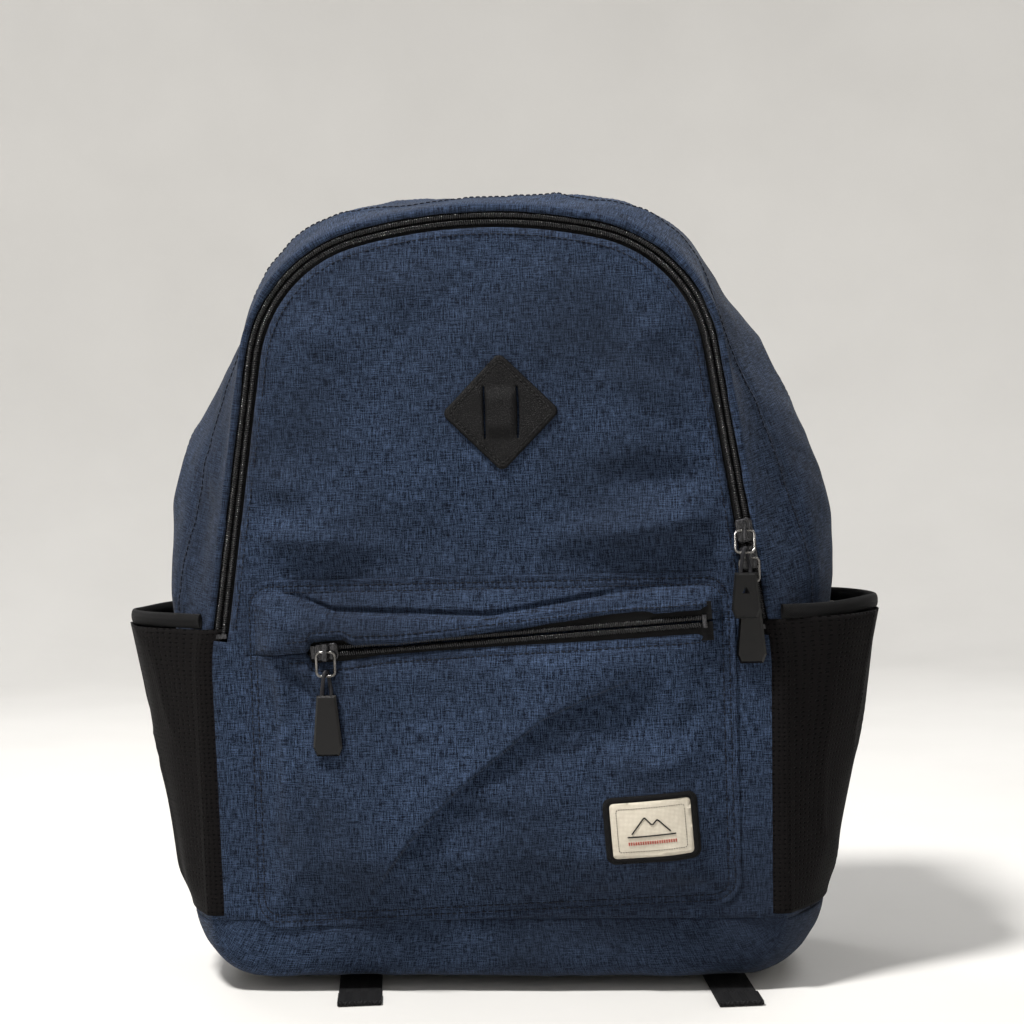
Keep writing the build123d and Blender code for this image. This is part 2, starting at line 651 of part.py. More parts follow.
strap_front_y = yoke_y + 0.4
strap_turn = radians(STRAP_SPLAY)
for side, sign in (("left", -1), ("right", 1)):
    down_x = sign * sin(strap_turn)
    side_plane = Plane(
        origin=(sign * STRAP_X, 0, STRAP_TOP_Z),
        x_dir=(0, 1, 0),
        z_dir=(cos(strap_turn), 0, down_x),
    )
    with BuildPart() as shoulder_strap:
        with BuildSketch(side_plane):
            with BuildLine():
                drop = STRAP_TOP_Z - STRAP_LOW_Z
                inner = ThreePointArc((strap_front_y, 0), (STRAP_MID_Y, -drop * 0.5), (STRAP_END_Y, -drop))
                end = Line(inner @ 1, (STRAP_END_Y + STRAP_T, -drop + 1))
                outer = ThreePointArc(
                    end @ 1, (STRAP_MID_Y + STRAP_T, -drop * 0.5), (strap_front_y + STRAP_T, 0)
                )
                Line(outer @ 1, inner @ 0)
            make_face()
        extrude(amount=STRAP_W / 2, both=True)
    save(shoulder_strap.part, f"shoulder_strap_{side}")

LOCK_W = 34.0
LOCK_H = 20.0
LOCK_T = 5.0
LOCK_Y = 84.0
LOCK_SLOT_W = 27.0
LOCK_SLOT_H = 3.4
LOCK_SLOTS = (6.5, 13.5)  # middles of the two slots, below the top bar's edge
lock_x = STRAP_X + (STRAP_TOP_Z - STRAP_LOW_Z) * tan(strap_turn)
lock_top = STRAP_LOW_Z - 1.0
for side, sign in (("left", -1), ("right", 1)):
    with BuildPart() as ladder_lock:
        with BuildSketch(Plane.XZ.offset(-LOCK_Y)):
            with Locations((sign * lock_x, lock_top - LOCK_H / 2)):
                RectangleRounded(LOCK_W, LOCK_H, 3)
            with Locations([(sign * lock_x, lock_top - down) for down in LOCK_SLOTS]):
                RectangleRounded(LOCK_SLOT_W, LOCK_SLOT_H, 1, mode=Mode.SUBTRACT)
        extrude(amount=-LOCK_T)
        chamfer(ladder_lock.faces().sort_by(Axis.Y)[-1].outer_wire().edges(), 1)
    save(ladder_lock.part, f"ladder_lock_{side}")

TAB_LOW = 16.0
TAB_HIGH = 60.0
TAB_OUT_X = 160.0  # edge in the side seam
TAB_IN_X = (132.0, 124.0)  # free edge at its lower and its upper end
TAB_SLANT = (14.0, 4.0)  # how far the free edge's two ends stand inside the tab's height
TAB_T = 2.4
WEB_LOW = Vector(136, 69.2, 42)
WEB_HIGH = Vector(lock_x + 1, 84.6, lock_top - LOCK_H - 5.5)
for side, sign in (("left", -1), ("right", 1)):
    with BuildPart() as anchor_tab:
        with BuildSketch(Plane.XZ.offset(-pad_y)):
            with BuildLine():
                Polyline(
                    (sign * TAB_OUT_X, TAB_LOW), (sign * TAB_OUT_X, TAB_HIGH),
                    (sign * TAB_IN_X[1], TAB_HIGH - TAB_SLANT[1]),
                    (sign * TAB_IN_X[0], TAB_LOW + TAB_SLANT[0]), close=True,
                )
            make_face()
        extrude(amount=-TAB_T)
    save(anchor_tab.part, f"anchor_tab_{side}")

    low = Vector(sign * WEB_LOW.X, WEB_LOW.Y, WEB_LOW.Z)
    high = Vector(sign * WEB_HIGH.X, WEB_HIGH.Y, WEB_HIGH.Z)
    rise = high - low
    web_plane = Plane(origin=low, x_dir=rise, z_dir=rise.cross(Vector(1, 0, 0)))
    with BuildPart(web_plane) as strap_webbing:
        Box(rise.length, WEB_W, WEB_T, align=(Align.MIN, Align.CENTER, Align.CENTER))
    save(strap_webbing.part, f"strap_webbing_{side}")

# The free ends hang from the ladder locks, turn at the floor and run forward under the bag.
TAIL_Y = 92.0
TAIL_TIP_Y = -108.3
TAIL_FOLD = 20.0
TAIL_TURN_R = 14.0
tail_tips = {"left": -74.0, "right": 137.0}
for side, sign in (("left", -1), ("right", 1)):
    start = Vector(sign * lock_x, TAIL_Y, 0)
    run = Vector(tail_tips[side], TAIL_TIP_Y, 0) - start
    tail_plane = Plane(origin=start, x_dir=run, z_dir=run.cross(Vector(0, 0, 1)))
    tail_top = lock_top - LOCK_H - 2
    reach = run.length
    with BuildPart() as strap_tail:
        with BuildSketch(tail_plane):
            with BuildLine():
                Polyline((0, tail_top), (0, TAIL_TURN_R))
                RadiusArc((0, TAIL_TURN_R), (TAIL_TURN_R, 0), -TAIL_TURN_R)
                Polyline(
                    (TAIL_TURN_R, 0), (reach, 0), (reach, 2 * WEB_T), (reach - TAIL_FOLD, 2 * WEB_T),
                    (reach - TAIL_FOLD, WEB_T), (TAIL_TURN_R, WEB_T),
                )
                RadiusArc((TAIL_TURN_R, WEB_T), (WEB_T, TAIL_TURN_R), TAIL_TURN_R - WEB_T)
                Polyline((WEB_T, TAIL_TURN_R), (WEB_T, tail_top), (0, tail_top))
            make_face()
        extrude(amount=WEB_W / 2, both=True)
    save(strap_tail.part, f"strap_tail_{side}")

HANDLE_R = 4.2
HANDLE_HALF = 30.0
HANDLE_Z = 436.0
HANDLE_DROP = 42.0
handle_y = yoke_y + HANDLE_R + 0.5
with BuildPart() as grab_handle:
    with BuildLine(Plane.XZ.offset(-handle_y)):
        sag = ThreePointArc(
            (-HANDLE_HALF, HANDLE_Z), (0, HANDLE_Z - HANDLE_DROP), (HANDLE_HALF, HANDLE_Z)
        )
    with BuildSketch(Plane(origin=sag @ 0, z_dir=sag % 0)):
        Circle(HANDLE_R)
    sweep()
save(grab_handle.part, "grab_handle")
print("handle axis y", handle_y, "strap axis y", strap_front_y, "lock x", round(lock_x, 2))
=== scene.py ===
"""Visual model of the travel backpack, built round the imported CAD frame.

All lengths are in metres: +Z up, the front panel faces -Y, +X is the right side seen from the front.
"""
import math

import bpy
import numpy as np
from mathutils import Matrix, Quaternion, Vector
from mathutils.bvhtree import BVHTree
from mathutils.geometry import delaunay_2d_cdt
from mathutils.kdtree import KDTree


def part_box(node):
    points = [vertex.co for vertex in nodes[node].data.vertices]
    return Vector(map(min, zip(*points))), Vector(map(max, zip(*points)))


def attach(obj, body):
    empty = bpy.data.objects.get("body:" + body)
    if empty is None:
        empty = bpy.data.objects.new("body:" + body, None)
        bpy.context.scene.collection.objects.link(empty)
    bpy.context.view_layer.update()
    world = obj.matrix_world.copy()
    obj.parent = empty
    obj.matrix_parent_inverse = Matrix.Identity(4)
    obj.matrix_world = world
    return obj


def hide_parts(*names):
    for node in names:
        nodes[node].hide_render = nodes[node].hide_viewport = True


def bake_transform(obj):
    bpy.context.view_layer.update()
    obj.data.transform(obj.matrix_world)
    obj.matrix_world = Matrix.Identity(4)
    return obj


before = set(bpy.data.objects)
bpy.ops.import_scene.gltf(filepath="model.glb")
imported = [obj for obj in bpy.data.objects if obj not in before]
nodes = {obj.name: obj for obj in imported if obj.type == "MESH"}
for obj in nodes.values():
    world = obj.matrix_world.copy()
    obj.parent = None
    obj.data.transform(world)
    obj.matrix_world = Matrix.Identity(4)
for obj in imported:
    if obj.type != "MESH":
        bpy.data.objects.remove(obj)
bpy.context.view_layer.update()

scene = bpy.context.scene
scene.view_settings.view_transform = "Standard"

# ---------------------------------------------------------------- camera

AZIMUTH = math.radians(6.1)
ELEVATION = math.radians(2.0)
ROLL = math.radians(1.64)
camera = bpy.data.objects.new("camera", bpy.data.cameras.new("camera"))
camera.data.lens = 72.9
camera.data.sensor_width = 36.0
camera.location = (0.139, -1.2315, 0.3117)
back = Vector((
    math.sin(AZIMUTH) * math.cos(ELEVATION), -math.cos(AZIMUTH) * math.cos(ELEVATION), math.sin(ELEVATION)
))
camera.rotation_mode = "QUATERNION"
camera.rotation_quaternion = (-back).to_track_quat("-Z", "Y") @ Quaternion((0, 0, 1), -ROLL)
scene.collection.objects.link(camera)
scene.camera = camera

# ---------------------------------------------------------------- shader helpers


class Shader:
    """A material under construction: a Principled shader and short ways to add nodes before it."""

    def __init__(self, name, **uniform):
        self.material = bpy.data.materials.new(name)
        self.material.use_nodes = True
        self.tree = self.material.node_tree
        self.surface = self.tree.nodes["Principled BSDF"]
        self.set(**uniform)

    def set(self, **uniform):
        for key, value in uniform.items():
            self.surface.inputs[key.replace("_", " ").title().replace("Ior", "IOR")].default_value = value

    def node(self, kind, inputs=None, **settings):
        made = self.tree.nodes.new(kind)
        for key, value in settings.items():
            setattr(made, key, value)
        for key, value in (inputs or {}).items():
            self.feed(made.inputs[key], value)
        return made

    def feed(self, socket, value):
        if isinstance(value, bpy.types.NodeSocket):
            self.tree.links.new(value, socket)
        else:
            socket.default_value = value

    def uv(self):
        return self.node("ShaderNodeUVMap", uv_map="cloth").outputs[0]

    def place(self):
        return self.node("ShaderNodeTexCoord").outputs["Object"]

    def scaled(self, vector, scale):
        return self.node("ShaderNodeVectorMath", {0: vector, 1: scale}, operation="MULTIPLY").outputs[0]

    def noise(self, vector, scale, detail=2.0, roughness=0.5):
        inputs = {"Vector": vector, "Scale": scale, "Detail": detail, "Roughness": roughness}
        return self.node("ShaderNodeTexNoise", inputs).outputs[0]

    def math(self, operation, a, b=0.0, c=0.0):
        return self.node("ShaderNodeMath", {0: a, 1: b, 2: c}, operation=operation).outputs[0]

    def spread(self, value, low, high, to_low=0.0, to_high=1.0):
        inputs = {0: value, 1: low, 2: high, 3: to_low, 4: to_high}
        return self.node("ShaderNodeMapRange", inputs, clamp=True).outputs[0]

    def mix(self, factor, a, b, blend="MIX"):
        made = self.node("ShaderNodeMix", data_type="RGBA", blend_type=blend)
        for socket, value in zip((made.inputs[0], made.inputs[6], made.inputs[7]), (factor, a, b)):
            self.feed(socket, value if not isinstance(value, tuple) else (*value, 1.0))
        return made.outputs[2]

    def colour(self, value):
        self.feed(self.surface.inputs["Base Color"], value)

    def rough(self, value):
        self.feed(self.surface.inputs["Roughness"], value)

    def bump(self, height, distance, strength=1.0):
        inputs = {"Height": height, "Distance": distance, "Strength": strength}
        under = self.surface.inputs["Normal"]
        if under.is_linked:
            inputs["Normal"] = under.links[0].from_socket
        self.feed(under, self.node("ShaderNodeBump", inputs).outputs[0])


def wave_of(s, value, pitch):
    """A smooth wave from 0 to 1 as a value grows, with that pitch in metres."""
    return s.math("MULTIPLY_ADD", s.math("SINE", s.math("MULTIPLY", value, 2 * math.pi / pitch)), 0.5, 0.5)


def weave_of(s, vector, pitch):
    """Threads that cross at right angles, with that pitch in metres."""
    across, down = (
        wave_of(s, s.node("ShaderNodeSeparateXYZ", {0: vector}).outputs[axis], pitch) for axis in (0, 1)
    )
    return s.math("MULTIPLY", across, down)


def heather_cloth(name, dark, light, wear_and_fold_shade):
    """Two-tone woven cloth: fine streaks of light and dark yarn along both directions of the weave, and large
    random patches of a duller tone that are partly mottled wear and partly painted fold shade.
    """
    s = Shader(name, roughness=0.86, sheen_weight=0.03, sheen_roughness=0.4, specular_ior_level=0.10)
    uv = s.uv()
    down = s.noise(s.scaled(uv, (1700.0, 140.0, 1.0)), 1.0, 2.0, 0.6)
    across = s.noise(s.scaled(uv, (125.0, 1700.0, 1.0)), 1.0, 2.0, 0.6)
    fleck = s.noise(s.scaled(uv, (1500.0, 1500.0, 1.0)), 1.0, 1.0)
    broad = s.noise(s.place(), 9.0, 3.0)
    yarn = s.math("ADD", s.math("MULTIPLY", down, 0.42), s.math("MULTIPLY", across, 0.34))
    yarn = s.math("ADD", yarn, s.math("MULTIPLY", fleck, 0.24))
    tone = s.spread(yarn, 0.43, 0.68)
    base = s.mix(tone, dark, light)
    # Large random patches pulled towards a duller tone: partly mottled wear, partly painted shade standing in
    # for the shading of wrinkles.
    base = s.mix(s.spread(broad, 0.38, 0.68, 0.0, 0.62), base, wear_and_fold_shade)
    s.colour(base)
    s.rough(s.spread(tone, 0.0, 1.0, 0.92, 0.74))
    weave = weave_of(s, uv, 0.00075)
    s.bump(weave, 0.00012, 0.5)
    s.bump(yarn, 0.00035, 0.55)
    s.bump(s.noise(s.place(), 120.0, 4.0, 0.6), 0.0007, 0.35)
    return s.material


def plain_weave(name, dark, light, pitch, rough=0.8, sheen=0.03):
    """Plain woven cloth or webbing with visible threads."""
    s = Shader(name, sheen_weight=sheen, sheen_roughness=0.4, specular_ior_level=0.15)
    weave = weave_of(s, s.uv(), pitch)
    s.colour(s.mix(s.math("MULTIPLY_ADD", s.noise(s.place(), 260.0, 3.0), 0.5, weave), dark, light))
    s.rough(s.spread(weave, 0.0, 1.0, rough + 0.1, rough - 0.1))
    s.bump(weave, pitch * 0.3, 0.7)
    s.bump(s.noise(s.place(), 90.0, 3.0), 0.0006, 0.3)
    return s.material


def ribbed_tape(name, dark, light, pitch, slant, rough=0.7):
    """Woven tape: a herringbone of slanting ribs, in columns as wide as slant."""
    s = Shader(name, sheen_weight=0.01, specular_ior_level=0.10)
    parts = s.node("ShaderNodeSeparateXYZ", {0: s.uv()})
    fold = s.math("PINGPONG", parts.outputs[1], slant)
    along = s.math("ADD", parts.outputs[0], fold)
    rib = wave_of(s, along, pitch)
    tone = s.math("MULTIPLY_ADD", s.noise(s.place(), 400.0), 0.6, s.math("MULTIPLY", rib, 0.6))
    s.colour(s.mix(tone, dark, light))
    s.rough(s.spread(rib, 0.0, 1.0, rough + 0.12, rough - 0.12))
    s.bump(rib, pitch * 0.25, 0.8)
    return s.material


def perforated_mesh(name, dark, light, pitch, hole):
    """Knitted mesh: staggered round holes in a black knit."""
    s = Shader(name, sheen_weight=0.01, sheen_roughness=0.4, specular_ior_level=0.06)
    uv = s.uv()
    inputs = {"Vector": uv, "Scale": 1.0 / pitch, "Randomness": 0.18}
    cell = s.node("ShaderNodeTexVoronoi", inputs, feature="F1").outputs["Distance"]
    solid = s.spread(cell, hole - 0.08, hole + 0.08)
    knit = s.noise(s.scaled(uv, (1500.0, 500.0, 1.0)), 1.0, 2.0)
    shade = s.math("MULTIPLY", solid, s.math("MULTIPLY_ADD", knit, 0.7, 0.25))
    s.colour(s.mix(shade, dark, light))
    s.rough(s.spread(knit, 0.3, 0.7, 0.75, 0.95))
    s.bump(solid, pitch * 0.35, 0.9)
    s.bump(knit, 0.0003, 0.5)
    return s.material


def grained_leather(name, dark, light):
    """Matt black leatherette with a fine pebbled grain and paler rubbed high spots."""
    s = Shader(name, specular_ior_level=0.14)
    spot = s.place()
    cell = s.node("ShaderNodeTexVoronoi", {"Vector": spot, "Scale": 900.0}, feature="DISTANCE_TO_EDGE")
    grain = s.spread(cell.outputs["Distance"], 0.0, 0.22)
    wear = s.noise(spot, 70.0, 4.0, 0.65)
    s.colour(s.mix(s.math("MULTIPLY", grain, s.spread(wear, 0.3, 0.75, 0.25, 1.0)), dark, light))
    s.rough(s.spread(wear, 0.3, 0.7, 0.46, 0.68))
    s.bump(grain, 0.00025, 0.7)
    s.bump(wear, 0.0008, 0.35)
    return s.material


def moulded(name, dark, light, rough_low, rough_high, metal=0.0, coat=0.0, grain=500.0):
    """Moulded plastic or metal: slight mottling, scuffs and a fine surface texture."""
    s = Shader(name, metallic=metal, coat_weight=coat, coat_roughness=0.08, specular_ior_level=0.24)
    spot = s.place()
    fine = s.noise(spot, grain, 4.0, 0.6)
    scuff = s.noise(s.scaled(spot, (900.0, 900.0, 120.0)), 1.0, 3.0, 0.7)
    s.colour(s.mix(s.spread(scuff, 0.45, 0.8), dark, light))
    s.rough(s.spread(fine, 0.3, 0.7, rough_low, rough_high))
    s.bump(fine, 0.00008, 0.4)
    return s.material


NAVY_DARK = (0.0020, 0.0034, 0.0085)
NAVY_LIGHT = (0.060, 0.095, 0.174)
# The third colour is the duller tone of the large patches: mottled wear and painted fold shade.
shell = heather_cloth("shell_heather", NAVY_DARK, NAVY_LIGHT, (0.0085, 0.0115, 0.0195))
lining = plain_weave("lining_weave", (0.010, 0.011, 0.014), (0.035, 0.037, 0.045), 0.0006)
side_mesh = perforated_mesh("side_mesh", (0.0009, 0.0009, 0.0010), (0.0080, 0.0070, 0.0072), 0.0026, 0.20)
air_mesh = perforated_mesh("air_mesh", (0.003, 0.003, 0.0035), (0.030, 0.030, 0.033), 0.0042, 0.30)
foam_felt = plain_weave("foam_felt", (0.020, 0.020, 0.022), (0.060, 0.060, 0.062), 0.0016, 0.9)
webbing = ribbed_tape("webbing_rib", (0.0028, 0.0028, 0.0031), (0.0125, 0.0125, 0.0138), 0.0021, 0.0042)
binding = ribbed_tape("binding_rib", (0.0018, 0.0018, 0.0020), (0.0070, 0.0070, 0.0076), 0.0010, 0.0020)
zip_tape = ribbed_tape("zip_tape_weave", (0.0020, 0.0020, 0.0022), (0.0075, 0.0075, 0.008), 0.0009, 0.0012)
zip_coil = moulded("zip_coil_nylon", (0.006, 0.006, 0.007), (0.040, 0.040, 0.043), 0.20, 0.34, coat=0.5)
thread = plain_weave("thread", (0.0022, 0.0034, 0.0075), (0.0075, 0.0110, 0.0210), 0.0003, 0.6)
black_thread = plain_weave("black_thread", (0.004, 0.004, 0.004), (0.020, 0.020, 0.021), 0.0003, 0.55)
cream_cloth = plain_weave("cream_satin", (0.42, 0.37, 0.29), (0.74, 0.69, 0.59), 0.0007, 0.6)
red_thread = plain_weave("red_thread", (0.30, 0.045, 0.03), (0.55, 0.12, 0.09), 0.0004, 0.6)
leather = grained_leather("lash_leather", (0.0022, 0.0021, 0.0023), (0.0100, 0.0097, 0.0105))
gloss_plastic = moulded("pull_gloss", (0.001, 0.001, 0.0011), (0.0028, 0.0028, 0.003), 0.10, 0.20, coat=0.12)
matt_plastic = moulded("pull_matt", (0.0018, 0.0018, 0.0020), (0.0055, 0.0055, 0.0060), 0.30, 0.44)
acetal = moulded("acetal_black", (0.010, 0.010, 0.011), (0.030, 0.030, 0.032), 0.30, 0.46)
black_metal = moulded("slider_enamel", (0.014, 0.014, 0.016), (0.11, 0.11, 0.12), 0.22, 0.40, 0.6, 0.4)
steel = moulded("ring_steel", (0.13, 0.125, 0.12), (0.36, 0.35, 0.34), 0.18, 0.36, metal=1.0)
cord_braid = ribbed_tape("cord_braid", (0.004, 0.004, 0.005), (0.030, 0.030, 0.034), 0.0011, 0.0011, 0.5)


def finish_node(name, *materials):
    """Gives a carried-over CAD node its material."""
    slots = nodes[name].data.materials
    slots.clear()
    for m in materials:
        slots.append(m)
    nodes[name].data.polygons.foreach_set("use_smooth", [False] * len(nodes[name].data.polygons))


def settle(piece, body, slot_name, *replaced, **sheet):
    """Attaches a piece to the body it rides on and hides the CAD nodes it replaces; slot_name and the flat
    size in sheet are not used.
    """
    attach(piece, body)
    if replaced:
        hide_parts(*replaced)


def settle_bent(piece, body, low, high, slot_name, *replaced):
    """For a piece that bends on the real bag: hides the CAD nodes it replaces and bakes its placement into
    its mesh; body, low, high and slot_name are not used.
    """
    if replaced:
        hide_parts(*replaced)
    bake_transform(piece)


# ---------------------------------------------------------------- zip-pull cords

CORD_D = 0.0022
SOCKET = 0.006  # depth of the cord's sockets in a pull's end
BESIDE, NEAR, LOOP = 0.0028, 0.0012, 0.00245  # the cord's runs beside the middle, and its reach round the bar


def cord_route(bar, end_top):
    """Control points of a pull's cord: out of one socket, over the ring's bar and back down."""
    x, bar_y, bar_z = bar
    _, end_y, end_z = end_top
    return [
        (x - BESIDE, end_y, end_z - SOCKET),
        (x - BESIDE, end_y, end_z + 0.001),
        (x - NEAR, bar_y - LOOP, bar_z - 0.0025),
        (x - NEAR / 2, bar_y - LOOP, bar_z + 0.0024),
        (x + NEAR / 2, bar_y + LOOP, bar_z + 0.0024),
        (x + NEAR, bar_y + LOOP, bar_z - 0.0025),
        (x + BESIDE, end_y, end_z + 0.001),
        (x + BESIDE, end_y, end_z - SOCKET),
    ]


PULLS = {  # middle of the ring's bar, top of the moulded end, length of the cord, body
    "a": ((0.14697, -0.0856, 0.2296), (0.14697, -0.0856, 0.2190), 0.0422, "pull_a"),
    "b": ((0.14473, -0.0923, 0.246395), (0.14473, -0.0927, 0.2354), 0.0430, "pull_b"),
    "pocket": ((-0.0890, -0.0976, 0.18286), (-0.0890, -0.0976, 0.17226), 0.0422, "pocket_pull"),
}
for key, (bar, end_top, length, body) in PULLS.items():
    points = cord_route(bar, end_top)
    curve = bpy.data.curves.new(f"cord_{key}", "CURVE")
    curve.dimensions = "3D"
    spline = curve.splines.new("NURBS")
    spline.points.add(len(points) - 1)
    for point, place in zip(spline.points, points):
        point.co = (*place, 1.0)
    spline.order_u = 3
    spline.use_endpoint_u = True
    curve.resolution_u = 8
    curve.bevel_depth = CORD_D / 2
    curve.bevel_resolution = 3
    curve.use_fill_caps = True
    curve.materials.append(cord_braid)
    cord = bpy.data.objects.new(f"cord_{key}", curve)
    scene.collection.objects.link(cord)
    settle(cord, body, "pull_cord", f"pull_cord_{key}")
    finish_node(f"pull_ring_{key}", steel)
    finish_node(f"slider_{key}", black_metal)
finish_node("pull_end_a", gloss_plastic)
finish_node("pull_end_b", matt_plastic)
finish_node("pull_end_pocket", gloss_plastic)

# ---------------------------------------------------------------- mesh helpers

FORWARD, BACKWARD = (0, -1, 0), (0, 1, 0)
SHARP_ANGLE = 0.7  # radians: a strap's edges turn more than this
THREAD_LIFT = 0.00015  # how far a stitch row stands off its cloth


def patchy(u, v, size, seed):
    """A smooth random field from about -1 to 1, with features of that size in metres."""
    table = np.random.default_rng(seed).uniform(-1, 1, (64, 64))
    x, y = np.asarray(u) / size + 17.3, np.asarray(v) / size + 11.7
    i, j = np.floor(x).astype(int), np.floor(y).astype(int)
    fx, fy = x - i, y - j
    fx, fy = fx * fx * (3 - 2 * fx), fy * fy * (3 - 2 * fy)
    low = table[i % 64, j % 64] * (1 - fx) + table[(i + 1) % 64, j % 64] * fx
    high = table[i % 64, (j + 1) % 64] * (1 - fx) + table[(i + 1) % 64, (j + 1) % 64] * fx
    return low * (1 - fy) + high * fy


def smooth(value, low=0.0, high=1.0):
    """0 below low, 1 above high, and an even curve between."""
    t = np.clip((np.asarray(value, float) - low) / (high - low), 0, 1)
    return t * t * (3 - 2 * t)


def bell(value, centre, width):
    return np.exp(-(((np.asarray(value) - centre) / width) ** 2))


def lengths_along(path):
    """Distance from a path's first point to each of its points."""
    return np.concatenate([[0], np.cumsum(np.linalg.norm(np.diff(path, axis=0), axis=1))])


def standing(flat, y):
    """Points at depth y over flat (x, z) points."""
    return np.stack([flat[:, 0], np.broadcast_to(y, (len(flat),)), flat[:, 1]], 1)


def joined(loop):
    """A closed loop with its first point repeated at its end."""
    return np.vstack([loop, loop[:1]])


def make_object(name, points, faces, uvs, *materials, shaded=True):
    """A mesh object with one UV pair per point, in metres, in a layer named cloth."""
    mesh = bpy.data.meshes.new(name)
    mesh.from_pydata([tuple(map(float, p)) for p in points], [], [tuple(map(int, f)) for f in faces])
    layer = mesh.uv_layers.new(name="cloth")
    index = np.zeros(len(mesh.loops), int)
    mesh.loops.foreach_get("vertex_index", index)
    layer.data.foreach_set("uv", np.asarray(uvs, float)[index].ravel())
    mesh.polygons.foreach_set("use_smooth", [shaded] * len(mesh.polygons))
    for m in materials:
        mesh.materials.append(m)
    made = bpy.data.objects.new(name, mesh)
    scene.collection.objects.link(made)
    return made


def grid_faces(rows, columns, wrap=False):
    across = columns if wrap else columns - 1
    r, c = np.meshgrid(np.arange(rows - 1), np.arange(across), indexing="ij")
    n, r = (c + 1) % columns, r * columns
    return np.stack([r + c, r + n, r + columns + n, r + columns + c], -1).reshape(-1, 4)


def end_caps(rows, columns):
    """Faces that close both ends of a wrapped grid."""
    last = (rows - 1) * columns
    return [tuple(range(columns)), tuple(last + k for k in reversed(range(columns)))]


def grid_normals(grid):
    """Unit normals of a grid of points, from its rows and columns."""
    normal = np.cross(np.gradient(grid, axis=1), np.gradient(grid, axis=0))
    return normal / np.maximum(np.linalg.norm(normal, axis=2, keepdims=True), 1e-12)


def grid_uv(grid):
    """Distances along the columns and down the rows of a grid, in metres."""
    middle = grid[grid.shape[0] // 2]
    u = lengths_along(middle)
    side = grid[:, grid.shape[1] // 2]
    v = lengths_along(side)
    return np.stack(np.meshgrid(u, v), -1)


def grid_object(name, grid, *materials, uv=None, wrap=False, flip=False, shaded=True):
    faces = grid_faces(grid.shape[0], grid.shape[1], wrap)
    if flip:
        faces = faces[:, ::-1]
    uv = grid_uv(grid) if uv is None else uv
    return make_object(name, grid.reshape(-1, 3), faces, uv.reshape(-1, 2), *materials, shaded=shaded)


def modifier(piece, kind, **settings):
    made = piece.modifiers.new(kind.lower(), kind)
    for key, value in settings.items():
        setattr(made, key, value)
    return made


def apply_modifiers(piece):
    """Turns a piece's modifiers into mesh."""
    graph = bpy.context.evaluated_depsgraph_get()
    shaped = piece.evaluated_get(graph)
    mesh = bpy.data.meshes.new_from_object(shaped, preserve_all_data_layers=True, depsgraph=graph)
    piece.modifiers.clear()
    piece.data = mesh
    return piece


def thicken(piece, thickness, offset=-1.0, inner=0):
    """Gives cloth its thickness; inner is the number of materials further on for its inner face."""
    modifier(piece, "SOLIDIFY", thickness=thickness, offset=offset, material_offset=inner, use_rim=True)
    return apply_modifiers(piece)


def region(outline, holes=(), spacing=0.003):
    """A flat region inside an outline and outside its holes: points, triangles, distances to the border."""
    loops = [np.asarray(outline, float)] + [np.asarray(h, float) for h in holes]
    points, edges = [], []
    for loop in loops:
        start = len(points)
        points += [tuple(p) for p in loop]
        edges += [(start + i, start + (i + 1) % len(loop)) for i in range(len(loop))]
    low, high = loops[0].min(0), loops[0].max(0)
    xs = np.arange(low[0] + spacing / 2, high[0], spacing)
    ys = np.arange(low[1] + spacing / 2, high[1], spacing)
    inner = np.stack(np.meshgrid(xs, ys), -1).reshape(-1, 2)
    tree = border_tree(loops)
    keep = inside(inner, loops)
    inner = [tuple(p) for p in inner[keep] if tree.find((p[0], p[1], 0))[2] > 0.55 * spacing]
    found = delaunay_2d_cdt([Vector(p) for p in points + inner], edges, [], 0, 1e-7)
    flat = np.array([tuple(p) for p in found[0]])
    triangles = np.array([f for f in found[2] if len(f) == 3])
    triangles = triangles[inside(flat[triangles].mean(1), loops)]
    border = np.array([tree.find((p[0], p[1], 0))[2] for p in flat])
    return flat, triangles, border


def border_tree(loops, step=0.0007):
    """A tree of closely spaced points along closed loops, to measure distances to them."""
    spots = []
    for loop in loops:
        for a, b in zip(loop, np.roll(loop, -1, axis=0)):
            count = max(1, int(np.linalg.norm(b - a) / step))
            spots += [a + (b - a) * k / count for k in range(count)]
    tree = KDTree(len(spots))
    for i, p in enumerate(spots):
        tree.insert((p[0], p[1], 0), i)
    tree.balance()
    return tree


def inside(points, loops):
    """Which points are inside the loops, counted even-odd."""
    x, y = points[:, 0], points[:, 1]
    odd = np.zeros(len(points), bool)
    for loop in loops:
        for (x0, y0), (x1, y1) in zip(loop, np.roll(loop, -1, axis=0)):
            if y0 != y1:
                crosses = (y0 > y) != (y1 > y)
                odd ^= crosses & (x < (x1 - x0) * (y - y0) / (y1 - y0) + x0)
    return odd


def rounded(width, height, radius, centre=(0.0, 0.0), turn=0.0, steps=8):
    """Points of a rounded rectangle."""
    made = []
    for k, (sx, sy) in enumerate(((1, 1), (-1, 1), (-1, -1), (1, -1))):
        cx, cy = sx * (width / 2 - radius), sy * (height / 2 - radius)
        for a in np.linspace(k * math.pi / 2, (k + 1) * math.pi / 2, steps):
            made.append((cx + radius * math.cos(a), cy + radius * math.sin(a)))
    c, s = math.cos(turn), math.sin(turn)
    return np.array([(x * c - y * s + centre[0], x * s + y * c + centre[1]) for x, y in made])


def dense(loop, step=0.003, closed=True):
    """The same loop with extra points along its straight runs."""
    made = []
    ends = np.roll(loop, -1, axis=0) if closed else loop[1:]
    for a, b in zip(loop, ends):
        count = max(1, int(np.linalg.norm(b - a) / step))
        made += [a + (b - a) * k / count for k in range(count)]
    return np.array(made if closed else made + [loop[-1]])


